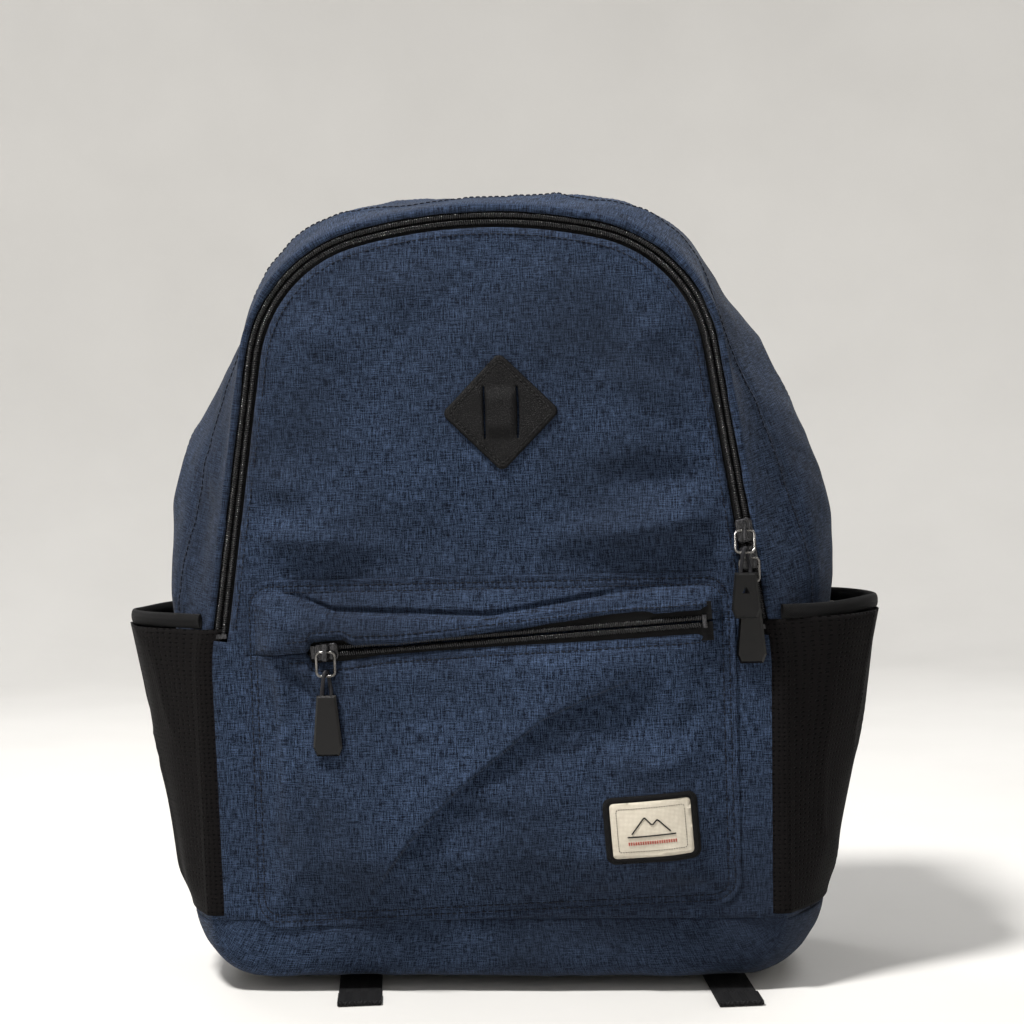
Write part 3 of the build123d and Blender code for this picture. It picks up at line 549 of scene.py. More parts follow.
def resample(path, count=None, step=None):
    """Evenly spaced points along a path of any dimension."""
    path = np.asarray(path, float)
    s = lengths_along(path)
    count = count or max(2, int(s[-1] / step) + 1)
    at = np.linspace(0, s[-1], count)
    return np.stack([np.interp(at, s, path[:, k]) for k in range(path.shape[1])], 1)


def unit(vectors):
    return vectors / np.maximum(np.linalg.norm(vectors, axis=-1, keepdims=True), 1e-12)


def tube(name, path, radius, material, sides=8, closed=False, twist_uv=0.0, squash=1.0, up=(0.0, -1.0, 0.0)):
    """A round or flattened tube along a path. squash scales it along its own up direction."""
    path = np.asarray(path, float)
    ahead = unit(np.gradient(path, axis=0))
    if closed:
        ahead = unit(np.roll(path, -1, axis=0) - np.roll(path, 1, axis=0))
    across = unit(np.cross(ahead, np.array(up)))
    over = np.cross(across, ahead)
    angle = np.linspace(0, 2 * math.pi, sides, endpoint=False)
    radii = np.broadcast_to(np.asarray(radius, float), (len(path),))[:, None, None]
    grid = path[:, None] + radii * (
        np.cos(angle)[None, :, None] * across[:, None] + squash * np.sin(angle)[None, :, None] * over[:, None]
    )
    s = lengths_along(path)
    around = np.arange(sides) / sides * 2 * math.pi * float(np.mean(radii))
    uv = np.stack([s[:, None] + twist_uv * around[None], np.broadcast_to(around, (len(path), sides))], -1)
    faces = list(map(tuple, grid_faces(len(path), sides, wrap=True)))
    if closed:
        last = (len(path) - 1) * sides
        faces += [(last + k, last + (k + 1) % sides, (k + 1) % sides, k) for k in range(sides)]
    else:
        faces += end_caps(len(path), sides)
    return make_object(name, grid.reshape(-1, 3), faces, uv.reshape(-1, 2), material)


def ribbon(name, path, across, width, thickness, *materials, rounding=0.35):
    """A strap: a flat band of that width and thickness along a path, with slightly rounded edges."""
    path = np.asarray(path, float)
    ahead = unit(np.gradient(path, axis=0))
    side = np.asarray(across, float)
    side = unit(side - (side * ahead).sum(-1, keepdims=True) * ahead) if side.ndim > 1 else unit(
        side[None] - (ahead @ side)[:, None] * ahead
    )
    over = np.cross(side, ahead)
    w, t, r = width / 2, thickness / 2, thickness * rounding
    stations = np.linspace(-w + r, w - r, 9)
    section = [(x, t) for x in stations[::-1]] + [(-w, t - r), (-w, -t + r)]
    section += [(x, -t) for x in stations] + [(w, -t + r), (w, t - r)]
    section = np.array(section)
    grid = path[:, None] + section[None, :, :1] * side[:, None] + section[None, :, 1:] * over[:, None]
    s = lengths_along(path)
    uv = np.stack(np.broadcast_arrays(s[:, None], section[None, :, 0] + 0.5), -1)
    count = len(section)
    faces = list(map(tuple, grid_faces(len(path), count, wrap=True)))
    faces += end_caps(len(path), count)
    made = make_object(name, grid.reshape(-1, 3), faces, uv.reshape(-1, 2), *materials)
    made.data.set_sharp_from_angle(angle=SHARP_ANGLE)
    return made


def outward(piece, centre):
    """Turns a sheet's faces so that they look away from a point."""
    mesh = piece.data
    total = 0.0
    for p in mesh.polygons:
        total += p.normal.dot(p.center - Vector(centre)) * p.area
    if total < 0:
        mesh.flip_normals()
    return piece


def stitches(name, rows, material, pitch=0.0034, length=0.0025, radius=0.00036, sink=0.0):
    """Sewn stitches along rows of (points, normals), as one piece of small capsules."""
    points, faces, uvs = [], [], []
    sides = 5
    ring = [(math.cos(2 * math.pi * k / sides), math.sin(2 * math.pi * k / sides)) for k in range(sides)]
    for path, normals in rows:
        path = np.asarray(path, float)
        normals = np.broadcast_to(np.asarray(normals, float), path.shape)
        s = lengths_along(path)
        for at in np.arange(pitch / 2, s[-1] - pitch / 2, pitch):
            a, b, n = (
                np.array([np.interp(t, s, field[:, k]) for k in range(3)])
                for t, field in ((at - length / 2, path), (at + length / 2, path), (at, normals))
            )
            n = n / max(np.linalg.norm(n), 1e-9)
            ahead = (b - a) / max(np.linalg.norm(b - a), 1e-9)
            side = np.cross(ahead, n)
            start = len(points)
            for t, size, lift in ((0, 0.45, -0.6), (0.2, 1, 0.25), (0.8, 1, 0.25), (1, 0.45, -0.6)):
                middle = a + (b - a) * t + n * (lift * radius - sink)
                for c, d in ring:
                    points.append(middle + (side * c + n * d) * radius * size)
                    uvs.append((at + t * length, c * radius))
            for k in range(3):
                for j in range(sides):
                    q = start + k * sides
                    faces.append((q + j, q + (j + 1) % sides, q + sides + (j + 1) % sides, q + sides + j))
            faces.append(tuple(start + j for j in reversed(range(sides))))
            faces.append(tuple(start + 3 * sides + j for j in range(sides)))
    return make_object(name, points, faces, uvs, material)


def sew(name, rows, body, slot_name, material, *sizes):
    """A piece of stitches that rides on a body."""
    settle(stitches(name, rows, material, *sizes), body, slot_name)


def sheet_over(name, outline, y_of, materials, thickness, spacing, centre, body, *where, holes=(), **sheet):
    """A nearly flat cloth facing along Y, at depth y_of(x, z, border); where is its slot and its nodes."""
    flat, triangles, border = region(outline, holes, spacing)
    points = standing(flat, y_of(flat[:, 0], flat[:, 1], border))
    piece = outward(make_object(name, points, triangles, flat, *materials), centre)
    thicken(piece, thickness, inner=len(materials) - 1)
    settle(piece, body, *where, **sheet)


# ---------------------------------------------------------------- outline of the bag at each depth

SIDES = ("side_gusset_left", "side_gusset_right", "top_gusset")
FRONT_Y, BACK_Y = (corner.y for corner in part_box("side_gusset_right"))
SEAM_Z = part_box("bottom_panel")[1].z
ZIP_END_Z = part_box("zip_tape_outer")[0].z
HINGE_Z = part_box("zip_tape_inner_flap")[0].z - 0.0003
MIDDLE_Z = 0.22
MIDDLE = (0, 0, MIDDLE_Z)


def tree_of(names):
    points, polygons = [], []
    for name in names:
        start = len(points)
        points += [v.co.copy() for v in nodes[name].data.vertices]
        polygons += [[start + i for i in p.vertices] for p in nodes[name].data.polygons]
    return BVHTree.FromPolygons(points, polygons)


class Outline:
    """The bag's outline at one depth, walked from the middle of the floor up the right side and over."""

    def __init__(self, tree, y, rays=1000):
        self.y = y
        centre = Vector((0, y, MIDDLE_Z))
        reach = 0.5
        angles = np.linspace(0, 2 * math.pi, rays, endpoint=False)
        radii = np.zeros(rays)
        for i, a in enumerate(angles):
            way = Vector((math.sin(a), 0, -math.cos(a)))
            hit = tree.ray_cast(centre + way * reach, -way)
            radii[i] = reach - hit[3] if hit[0] is not None else 0
        near = np.median([np.roll(radii, k) for k in (-4, -2, 0, 2, 4)], axis=0)
        radii = np.where(np.abs(radii - near) > 0.0015, near, radii)
        self.p = np.stack([radii * np.sin(angles), MIDDLE_Z - radii * np.cos(angles)], 1)
        loop = joined(self.p)
        self.s = lengths_along(loop)
        self.total = self.s[-1]
        ahead = unit(np.roll(self.p, -5, axis=0) - np.roll(self.p, 5, axis=0))
        self.n = np.stack([-ahead[:, 1], ahead[:, 0]], 1)

    def at(self, s, inset=0.0):
        """Points (x, z) at arc lengths s, moved inward by inset."""
        s = np.asarray(s) % self.total
        loop = joined(self.p + inset * self.n)
        return np.stack([np.interp(s, self.s, loop[:, k]) for k in (0, 1)], 1)

    def row(self, s, inset=0.0, y=None):
        """The same points with their depth."""
        flat = self.at(s, inset)
        return np.stack([flat[:, 0], np.full(len(flat), self.y if y is None else y), flat[:, 1]], 1)

    def height(self, z, side):
        """Arc length at height z on the right (1) or left (-1) side."""
        half = len(self.p) // 2
        part = slice(10, half) if side > 0 else slice(half, len(self.p) - 10)
        zs, ss = self.p[part, 1], self.s[:-1][part]
        if side < 0:
            zs, ss = zs[::-1], ss[::-1]
        return float(np.interp(z, np.maximum.accumulate(zs), ss))


skin_tree = tree_of([*SIDES, "bottom_panel"])
DEPTH_ROWS = 49
depths = np.linspace(FRONT_Y + 0.0003, BACK_Y - 0.0003, DEPTH_ROWS)
outlines = [Outline(skin_tree, y) for y in depths]
front = outlines[0]

ZONES = {
    "wall": lambda o: (o.height(SEAM_Z + 0.0003, 1), o.height(SEAM_Z + 0.0003, -1), 350),
    "bottom": lambda o: (o.height(SEAM_Z, -1) - o.total, o.height(SEAM_Z, 1), 150),
}
RIM = [  # the gusset's folded front edge: inset and depth
    (0.0040, 0.0016), (0.0041, 0.0008), (0.0038, 0.0001), (0.0030, -0.0004), (0.0020, -0.0005),
    (0.0008, -0.0002), (0.0001, 0.0006),
]
GROOVE_V = 0.034  # the facing strip's seam, measured from the first row


def wall_grid():
    """Rows of the gusset, from its folded front edge back, walked up the right side and down the left."""
    low, high, count = ZONES["wall"](front)
    rows = [front.row(np.linspace(low, high, count), inset, FRONT_Y + dy) for inset, dy in RIM]
    for o in outlines[1:]:
        low, high, count = ZONES["wall"](o)
        rows.append(o.row(np.linspace(low, high, count)))
    return np.array(rows)


def outward_normals(grid):
    normal = grid_normals(grid)
    return normal if (normal * (grid - np.array(MIDDLE))).sum() > 0 else -normal


def relaxed(grid, passes):
    """Evens out the outline along each row, more with distance from the front edge."""
    even = grid.copy()
    for _ in range(passes):
        even[:, 1:-1] = 0.5 * even[:, 1:-1] + 0.25 * (even[:, :-2] + even[:, 2:])
    depth = np.abs(grid[:, :1, 1:2] - FRONT_Y)
    share = smooth(depth, 0.012, 0.055) * smooth(BACK_Y - grid[:, :1, 1:2], 0.0, 0.035)
    return grid + (even - grid) * share


SEED = 11
grid = relaxed(wall_grid(), 160)
uv = grid_uv(grid)
normal = outward_normals(grid)
low, high, count = ZONES["wall"](front)
v = uv[..., 1]
s = np.broadcast_to(np.linspace(low, high, count), v.shape)
fade = smooth(v, 0.008, 0.026) * smooth(v.max() - v, 0.0, 0.02)
fold = 1 - np.abs(patchy(s + 0.6 * v, 0.5 * v - 0.2 * s, 0.05, SEED + 2))
wave = 0.0030 * patchy(s, v, 0.085, SEED) + 0.0020 * patchy(s, v, 0.036, SEED + 1)
wave = wave + 0.0020 * (fold**4 - 0.2) + 0.0006 * patchy(s, v, 0.012, SEED + 3)
covered = 1 - smooth(grid[..., 2], 0.195, 0.235)
wave = wave - covered * np.maximum(wave, 0.0)
seam = -0.0014 * bell(v, GROOVE_V, 0.0014) + 0.0007 * bell(v, GROOVE_V - 0.0035, 0.0022)
pucker = 0.0005 * bell(v, GROOVE_V, 0.008) * patchy(s * 3, v * 0, 0.016, SEED + 4)
hem = 0.0004 * patchy(s, v * 0, 0.011, SEED + 5) * (1 - smooth(v, 0.006, 0.02))
grid = grid + normal * (wave * fade + seam + pucker + hem)[..., None]
gusset = grid_object("gusset_cloth", grid, shell, lining, uv=uv)
outward(gusset, MIDDLE)
thicken(gusset, 0.0015, inner=1)
settle(gusset, "root", "shell_cloth", *SIDES, flat=(0.165, 1.05))
row = int(np.argmin(np.abs(v[:, 0] - (GROOVE_V - 0.0032))))
facing_seam = (grid[row] + normal[row] * 0.0002, normal[row])
sew("gusset_stitches", [facing_seam], "root", "shell_cloth", thread, 0.0036, 0.0028)

# ---------------------------------------------------------------- bottom

BOTTOM_FACE_ROWS = 12
EDGE_ROUNDING = 14  # smoothing passes that round the front edge


def bottom_grid():
    low, high, count = ZONES["bottom"](front)
    s = np.linspace(low, high, count)
    rim = front.row(s, 0.0004, FRONT_Y + 0.0003)
    t = np.linspace(-1, 1, count)
    half = rim[-1, 0]
    seam = np.stack([half * t, np.full(count, FRONT_Y + 0.0002), np.full(count, SEAM_Z + 0.001)], 1)
    rows = [seam + (rim - seam) * k / BOTTOM_FACE_ROWS for k in range(BOTTOM_FACE_ROWS)]
    for o in outlines:
        low, high, _ = ZONES["bottom"](o)
        rows.append(o.row(np.linspace(low, high, count)))
    grid = np.array(rows)
    for _ in range(EDGE_ROUNDING):
        near = slice(BOTTOM_FACE_ROWS - 5, BOTTOM_FACE_ROWS + 6)
        middle = grid[near].copy()
        before = grid[BOTTOM_FACE_ROWS - 6:BOTTOM_FACE_ROWS + 5]
        after = grid[BOTTOM_FACE_ROWS - 4:BOTTOM_FACE_ROWS + 7]
        middle[:, 1:-1] = 0.5 * middle[:, 1:-1] + 0.25 * (before + after)[:, 1:-1]
        grid[near] = middle
    return grid


grid = bottom_grid()
uv = grid_uv(grid)
normal = outward_normals(grid)
u, v = uv[..., 0], uv[..., 1]
edge = smooth(np.minimum(u, u.max() - u), 0.0, 0.02) * smooth(v, 0.0, 0.012) * smooth(v.max() - v, 0, 0.015)
sag = 0.0022 * patchy(u, v, 0.06, 71) + 0.001 * patchy(u, v, 0.025, 72) + 0.0004 * patchy(u, v, 0.011, 73)
grid = grid + normal * (sag * edge)[..., None]
grid[..., 2] = np.maximum(grid[..., 2], 0.0034)
bottom = grid_object("bottom_cloth", grid, shell, lining, uv=uv)
outward(bottom, MIDDLE)
thicken(bottom, 0.0016, inner=1)
settle(bottom, "root", "shell_cloth", "bottom_panel", flat=(0.41, 0.19))

# ---------------------------------------------------------------- front panel

PANEL_INSET = 0.0130
LOWER_INSET = 0.0035
zip_low_right = front.height(ZIP_END_Z - 0.003, 1)
zip_low_left = front.height(ZIP_END_Z - 0.003, -1)
seam_right = front.height(SEAM_Z + 0.0005, 1)
seam_left = front.height(SEAM_Z + 0.0005, -1)
STEP = 0.003


def along(low, high, inset, step=STEP):
    count = max(2, int((high - low) / step))
    return front.at(np.linspace(low, high, count), inset)


def front_outline():
    """The front cloth: full width below the zip's ends, and inside the zip above them."""
    foot = front.at([seam_left, seam_right], LOWER_INSET)
    return np.vstack([
        dense(foot, STEP, False)[:-1],
        along(seam_right, zip_low_right, LOWER_INSET)[:-1],
        along(zip_low_right, zip_low_left, PANEL_INSET),
        along(zip_low_left, seam_left, LOWER_INSET)[:-1],
    ])


def panel_bulge(x, z):
    """How far the upper front stands out of its plane: a soft dome with creases running into it."""
    dome = 0.0035 * smooth(z, 0.235, 0.30) * smooth(0.45 - z, 0.0, 0.09) * smooth(0.145 - np.abs(x), 0, 0.07)
    wave = 0.0028 * patchy(x, z, 0.07, 91) + 0.0013 * patchy(x, z, 0.03, 92)
    wave = wave + 0.0003 * patchy(x, z, 0.012, 93)
    crease = np.zeros_like(x)
    for x0, z0, x1, z1, width, depth in (
        (0.134, 0.268, 0.020, 0.250, 0.011, 0.0062), (-0.134, 0.300, -0.070, 0.256, 0.011, 0.0052),
        (0.130, 0.290, 0.055, 0.288, 0.010, -0.0034), (-0.128, 0.262, -0.030, 0.247, 0.008, 0.0042),
        (-0.132, 0.282, -0.080, 0.276, 0.008, -0.0030), (0.120, 0.330, 0.060, 0.352, 0.009, 0.0022),
        (0.118, 0.385, 0.075, 0.352, 0.008, 0.0018), (-0.110, 0.385, -0.062, 0.356, 0.009, 0.0018),
        (-0.060, 0.425, -0.030, 0.380, 0.008, 0.0018), (0.050, 0.425, 0.030, 0.385, 0.007, 0.0014),
    ):
        crease = crease + 1.7 * depth * furrow(x, z, (x0, z0), (x1, z1), width)
    return dome + (wave + crease) * smooth(z, 0.236, 0.26)


def furrow(x, z, a, b, width):
    """A soft fold along a line from a, where it is strongest, to b, where it dies out."""
    dx, dz = b[0] - a[0], b[1] - a[1]
    length = math.hypot(dx, dz)
    t = ((x - a[0]) * dx + (z - a[1]) * dz) / length**2
    off = ((x - a[0]) * -dz + (z - a[1]) * dx) / length
    return np.exp(-((off / width) ** 2)) * smooth(t, -0.15, 0.1) * (1 - smooth(t, 0.35, 1.1))


flat, triangles, border = region(front_outline(), spacing=STEP)
x, z = flat[:, 0], flat[:, 1]
zip_side = smooth(z, ZIP_END_Z - 0.002, ZIP_END_Z + 0.004)
hem = (1 - smooth(border, 0.0, 0.0024)) * zip_side
seam = bell(border, 0.0045, 0.0010) * zip_side
y = FRONT_Y - 0.0004 - panel_bulge(x, z) * smooth(border, 0.002, 0.03) + 0.0014 * hem + 0.0004 * seam
y = y + 0.0004 * patchy(x * 2, z * 2, 0.018, 95) * bell(border, 0.004, 0.006) * zip_side
front_cloth = make_object("front_cloth", standing(flat, y), triangles, flat, shell, lining)
outward(front_cloth, MIDDLE)
thicken(front_cloth, 0.0017, inner=1)
FOLD = ("flap", (0, FRONT_Y, HINGE_Z - 0.006), (0, FRONT_Y, HINGE_Z + 0.014))  # where the front bends
settle_bent(front_cloth, *FOLD, "shell_cloth", "front_panel_lower", "front_panel_flap")


def front_y(x, z):
    """Depth of the front cloth's face at a point well inside its edge."""
    return FRONT_Y - 0.0004 - panel_bulge(np.asarray(x, float), np.asarray(z, float))


hem_path = front.at(np.linspace(zip_low_right + 0.006, zip_low_left - 0.006, 500), PANEL_INSET + 0.0038)
hem_row = (standing(hem_path, FRONT_Y - 0.0003), FORWARD)
settle_bent(stitches("front_stitches", [hem_row], thread), *FOLD, "shell_cloth")

# ---------------------------------------------------------------- main zip

CHAIN_INSET = 0.008
COIL_MID_Y = (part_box("zip_coil_outer")[0].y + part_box("zip_coil_outer")[1].y) / 2
TAPE_Y = (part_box("zip_tape_outer")[0].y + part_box("zip_tape_outer")[1].y) / 2
COIL_PITCH = 0.00127
COIL_WIRE = 0.00036
COIL_W, COIL_H = 0.0030, 0.0024
COIL_OFF = 0.0019  # middle of each half from the middle of the chain
TAPE_W, TAPE_T = 0.0103, 0.0008
TAPE_OFF = 0.0057
zip_right = front.height(ZIP_END_Z, 1)
zip_left = front.height(ZIP_END_Z, -1)


def tape(name, low, high, inner_inset, outer_inset):
    """A strip of zip tape between two insets of the front outline."""
    s = np.linspace(low, high, int((high - low) / 0.003))
    columns = [front.row(s, inset, TAPE_Y) for inset in np.linspace(inner_inset, outer_inset, 5)]
    made = grid_object(name, np.array(columns), zip_tape)
    return thicken(made, TAPE_T, offset=0.0)


def coil(name, path, side):
    """One half of a coil zip: a helix of nylon wire along a path; side turns it the other way."""
    path = resample(path, step=COIL_PITCH / 10)
    ahead = unit(np.gradient(path, axis=0))
    out = np.array(FORWARD, float)
    across = unit(np.cross(ahead, out))
    s = np.arange(len(path)) * COIL_PITCH / 10
    turn = 2 * math.pi * s / COIL_PITCH * side
    ring_a, ring_b = COIL_W / 2 - COIL_WIRE, COIL_H / 2 - COIL_WIRE
    helix = path + ring_a * np.cos(turn)[:, None] * across + ring_b * np.sin(turn)[:, None] * out
    return tube(name, helix, COIL_WIRE, zip_coil, sides=5, up=FORWARD)


outer_tape = tape("zip_tape_outer_strip", zip_right, zip_left, 0.0034, 0.0078)
settle(outer_tape, "root", "zip_tape", "zip_tape_outer", flat=(0.0100, 0.84), area=0.0044)
inner_tape = tape("zip_tape_inner_strip", zip_right, zip_left, 0.0082, 0.0186)
settle_bent(inner_tape, *FOLD, "zip_tape", "zip_tape_inner_lower", "zip_tape_inner_flap")
chain_s = np.linspace(zip_right + 0.0005, zip_left - 0.0005, 900)
outer_coil = coil("zip_coil_outer_half", front.row(chain_s, CHAIN_INSET - COIL_OFF, COIL_MID_Y), 1)
settle(outer_coil, "root", "zip_coil", "zip_coil_outer")
inner_coil = coil("zip_coil_inner_half", front.row(chain_s, CHAIN_INSET + COIL_OFF, COIL_MID_Y), -1)
settle_bent(inner_coil, *FOLD, "zip_coil", "zip_coil_inner_lower", "zip_coil_inner_flap")
finish_node("zip_end_stops", black_metal)
finish_node("pocket_zip_stops", black_metal)

# ---------------------------------------------------------------- front pocket

pocket_low, pocket_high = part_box("front_pocket_panel")[0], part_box("front_pocket_band")[1]
POCKET_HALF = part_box("front_pocket_panel")[1].x
POCKET_BACK_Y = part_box("front_pocket_panel")[1].y
POCKET_DEPTH = POCKET_BACK_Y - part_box("front_pocket_panel")[0].y
POCKET_MID_Z = (pocket_low.z + pocket_high.z) / 2
POCKET_HALF_H = (pocket_high.z - pocket_low.z) / 2
POCKET_R = 0.016  # its rounded corners
ZIP_TILT = math.tan(math.radians(3.5))
ZIP_Z0 = 0.2017
SLOT_LEFT, SLOT_RIGHT = -0.101, 0.1265


def zip_z(x):
    return ZIP_Z0 + np.asarray(x) * ZIP_TILT


def pocket_edge(x, z):
    """Distance inward from the pocket's rounded outline."""
    qx = np.abs(x) - (POCKET_HALF - POCKET_R)
    qz = np.abs(z - POCKET_MID_Z) - (POCKET_HALF_H - POCKET_R)
    outside = np.hypot(np.maximum(qx, 0), np.maximum(qz, 0)) + np.minimum(np.maximum(qx, qz), 0)
    return POCKET_R - outside


def line_side(x, z, points):
    """Signed distance below (+) or above (-) a line of points that runs upward to the right."""
    points = np.array(points)
    line = np.interp(x, points[:, 0], points[:, 1])
    slope = np.gradient(points[:, 1], points[:, 0])
    return (line - z) / np.hypot(1, np.interp(x, points[:, 0], slope))


BIG_FOLD = [
    (-0.096, 0.030), (-0.069, 0.059), (-0.044, 0.091), (-0.017, 0.119), (0.010, 0.140), (0.031, 0.157),
    (0.053, 0.167), (0.081, 0.178), (0.100, 0.182),
]


def pocket_folds(x, z):
    """The slack pocket cloth: one long fold that overhangs the cloth below it, a dent, and small creases."""
    below = line_side(x, z, BIG_FOLD)
    strength = smooth(x, -0.098, -0.060) * (1 - smooth(x, 0.066, 0.096))
    step = 0.0038 * (1 - smooth(below, -0.0006, 0.0016)) * np.exp(-(np.maximum(-below, 0) / 0.030) ** 1.3)
    hollow = -0.0034 * smooth(below, -0.0006, 0.0030) * np.exp(-np.maximum(below, 0) / 0.022)
    groove = -0.0011 * bell(below, 0.0012, 0.0010)
    lift = strength * (step + hollow + groove)
    dx, dz = x - 0.086, z - 0.157
    bowl = np.hypot(dx / 0.030, dz / 0.021)
    lift = lift - 0.0066 * np.exp(-bowl**2.6) + 0.0024 * bell(bowl, 1.35, 0.28) * smooth(-dz, -0.004, 0.01)
    for x0, z0, x1, z1, width, depth in (
        (-0.116, 0.190, -0.090, 0.158, 0.005, -0.0032), (-0.112, 0.194, -0.080, 0.176, 0.006, 0.0022),
        (-0.025, 0.114, 0.024, 0.094, 0.006, -0.0016), (-0.020, 0.120, 0.040, 0.108, 0.010, 0.0012),
        (0.052, 0.143, 0.074, 0.126, 0.005, -0.0016), (0.119, 0.166, 0.104, 0.136, 0.005, -0.0016),
        (0.128, 0.120, 0.110, 0.060, 0.007, 0.0014), (-0.117, 0.180, -0.116, 0.050, 0.0050, 0.0030),
        (0.125, 0.064, 0.000, 0.056, 0.006, 0.0022), (-0.115, 0.052, -0.030, 0.060, 0.006, 0.0022),
        (-0.105, 0.120, -0.085, 0.060, 0.007, -0.0018), (0.020, 0.075, 0.070, 0.064, 0.006, -0.0014),
    ):
        lift = lift + 1.6 * depth * furrow(x, z, (x0, z0), (x1, z1), width)
    lift = lift + 0.0026 * patchy(x, z, 0.055, 101) + 0.0014 * patchy(x, z, 0.022, 102)
    belly = 0.0066 * bell(z, 0.098, 0.052) * smooth(POCKET_HALF - np.abs(x), 0.0, 0.06)
    return lift + belly + 0.00025 * patchy(x, z, 0.010, 103)


def band_folds(x, z):
    """The band above the zip hangs slack: a fold runs in from the top left corner and along the zip."""
    crease_z = np.interp(
        x, [-0.128, -0.086, -0.040, 0.003, 0.050, 0.095, 0.124],
        [0.234, 0.2165, 0.2145, 0.2125, 0.2200, 0.2275, 0.2285],
    )
    below = crease_z - z
    strength = smooth(x, -0.134, -0.118) * (1 - smooth(x, 0.108, 0.130))
    lift = strength * (0.0048 * smooth(below, -0.0005, 0.0014) - 0.0030 * bell(below, -0.0018, 0.0018))
    lift = lift + 0.0009 * patchy(x, z, 0.045, 111) + 0.0005 * patchy(x, z, 0.018, 112)
    return lift


def pocket_depth(x, z):
    """How far the pocket cloth stands off the bag: a sewn flange at its edge, then a rounded side."""
    e = pocket_edge(x, z)
    at_zip_ends = np.exp(-(((z - zip_z(x)) / 0.022) ** 2)) * smooth(np.abs(x), 0.085, 0.100)
    side = smooth(e, 0.0055, 0.0200 + 0.018 * (1 - at_zip_ends))
    rise = 0.0011 + (POCKET_DEPTH - 0.0016) * side**0.8
    groove = -0.0005 * bell(e, 0.0036, 0.0009) - 0.0004 * bell(e, 0.0072, 0.0009)
    pucker = 0.0004 * patchy(x * 2, z * 2, 0.016, 105) * bell(e, 0.006, 0.006)
    return rise, side, groove + pucker


def slumped(x, z):
    """Heights of the pocket's lower edge once the bag has slumped towards its left."""
    return z + (0.0005 + 0.046 * x) * (1 - smooth(z, 0.046, 0.077))


def slot_gap(x, which):
    """Half the slot's opening above (1) or below (-1) the middle of the zip."""
    inner = smooth(x, SLOT_LEFT, SLOT_LEFT + 0.004) * (1 - smooth(x, SLOT_RIGHT - 0.004, SLOT_RIGHT))
    below = ([-0.1, -0.078, -0.06, 0.0, 0.06, 0.12], [0.0056, 0.0056, 0.0040, 0.0042, 0.0056, 0.0062])
    above = (
        [-0.100, -0.0985, -0.0800, -0.0740, -0.0500, -0.020, 0.030, 0.070, 0.120],
        [0.0020, 0.0054, 0.0054, 0.0012, 0.0000, 0.0010, 0.0040, 0.0060, 0.0062],
    )
    return 0.0002 + inner * np.interp(x, *(below if which < 0 else above))


def pocket_grid(which):
    """Rows of the panel (-1) from its lower edge up to the zip, or of the band (1) down to it."""
    columns = np.linspace(-POCKET_HALF, POCKET_HALF, 276)
    e_x = np.maximum(np.abs(columns) - (POCKET_HALF - POCKET_R), 0)
    corner = np.minimum(POCKET_R - np.sqrt(np.maximum(POCKET_R**2 - e_x**2, 0)), POCKET_R - 0.0005)
    far = (pocket_high.z - corner) if which > 0 else (pocket_low.z + corner)
    near = zip_z(columns) + which * slot_gap(columns, which)
    t = np.linspace(0, 1, 44 if which > 0 else 156)[:, None]
    zs = far[None] * (1 - t) + near[None] * t
    xs = np.broadcast_to(columns, zs.shape)
    rise, side, fine = pocket_depth(xs, zs)
    folds = band_folds(xs, zs) if which > 0 else pocket_folds(xs, zs)
    to_slot = np.abs(zs - near[None])
    open_here = smooth(xs, SLOT_LEFT - 0.001, SLOT_LEFT + 0.003)
    open_here = open_here * (1 - smooth(xs, SLOT_RIGHT - 0.003, SLOT_RIGHT + 0.001))
    hem = -0.0018 * (1 - smooth(to_slot, 0.0, 0.0022)) * (0.35 + 0.65 * open_here)
    stitch = -0.0005 * bell(to_slot, 0.0052, 0.0010) * open_here
    calm = smooth(to_slot, 0.0, 0.016) if which < 0 else smooth(to_slot, 0.0, 0.004) * 0.7 + 0.3
    slack = side if which < 0 else smooth(pocket_edge(xs, zs), 0.0045, 0.0120)
    depth = rise + fine + folds * slack * calm + hem + stitch
    return np.stack([xs, POCKET_BACK_Y - np.maximum(depth, 0.0006), slumped(xs, zs)], -1)


def add_inner_hem(grid, which):
    """Two more rows that turn the slot's edge back into the pocket."""
    steps = ((0.0010, -0.0001), (0.0022, 0.0006))  # back into the pocket, and away from the slot's middle
    return np.concatenate([grid, [grid[-1] + np.array([0, back, which * away]) for back, away in steps]])


pocket_grids = {}
for which, name, tall, area in (
    (1, "front_pocket_band", 0.045, 0.0110), (-1, "front_pocket_panel", 0.175, 0.0470),
):
    grid = add_inner_hem(pocket_grid(which), which)
    pocket_grids[which] = grid
    uv = np.stack([grid[..., 0], grid[..., 2]], -1)
    piece = grid_object(f"{name}_cloth", grid, shell, lining, uv=uv)
    outward(piece, (0, 0.2, POCKET_MID_Z))
    thicken(piece, 0.0012, inner=1)
    settle(piece, "root", "shell_cloth", name, flat=(0.290, tall), area=area)


def pocket_row(e_in):
    """A stitch row around the pocket at distance e_in from its edge, lying on its cloth."""
    size = (2 * (POCKET_HALF - e_in), 2 * (POCKET_HALF_H - e_in))
    loop = joined(dense(rounded(*size, max(POCKET_R - e_in, 0.004), (0, POCKET_MID_Z)), 0.002))
    rise, _, fine = pocket_depth(loop[:, 0], loop[:, 1])
    height = slumped(loop[:, 0], loop[:, 1])
    return standing(np.stack([loop[:, 0], height], 1), POCKET_BACK_Y - rise - fine - THREAD_LIFT), FORWARD


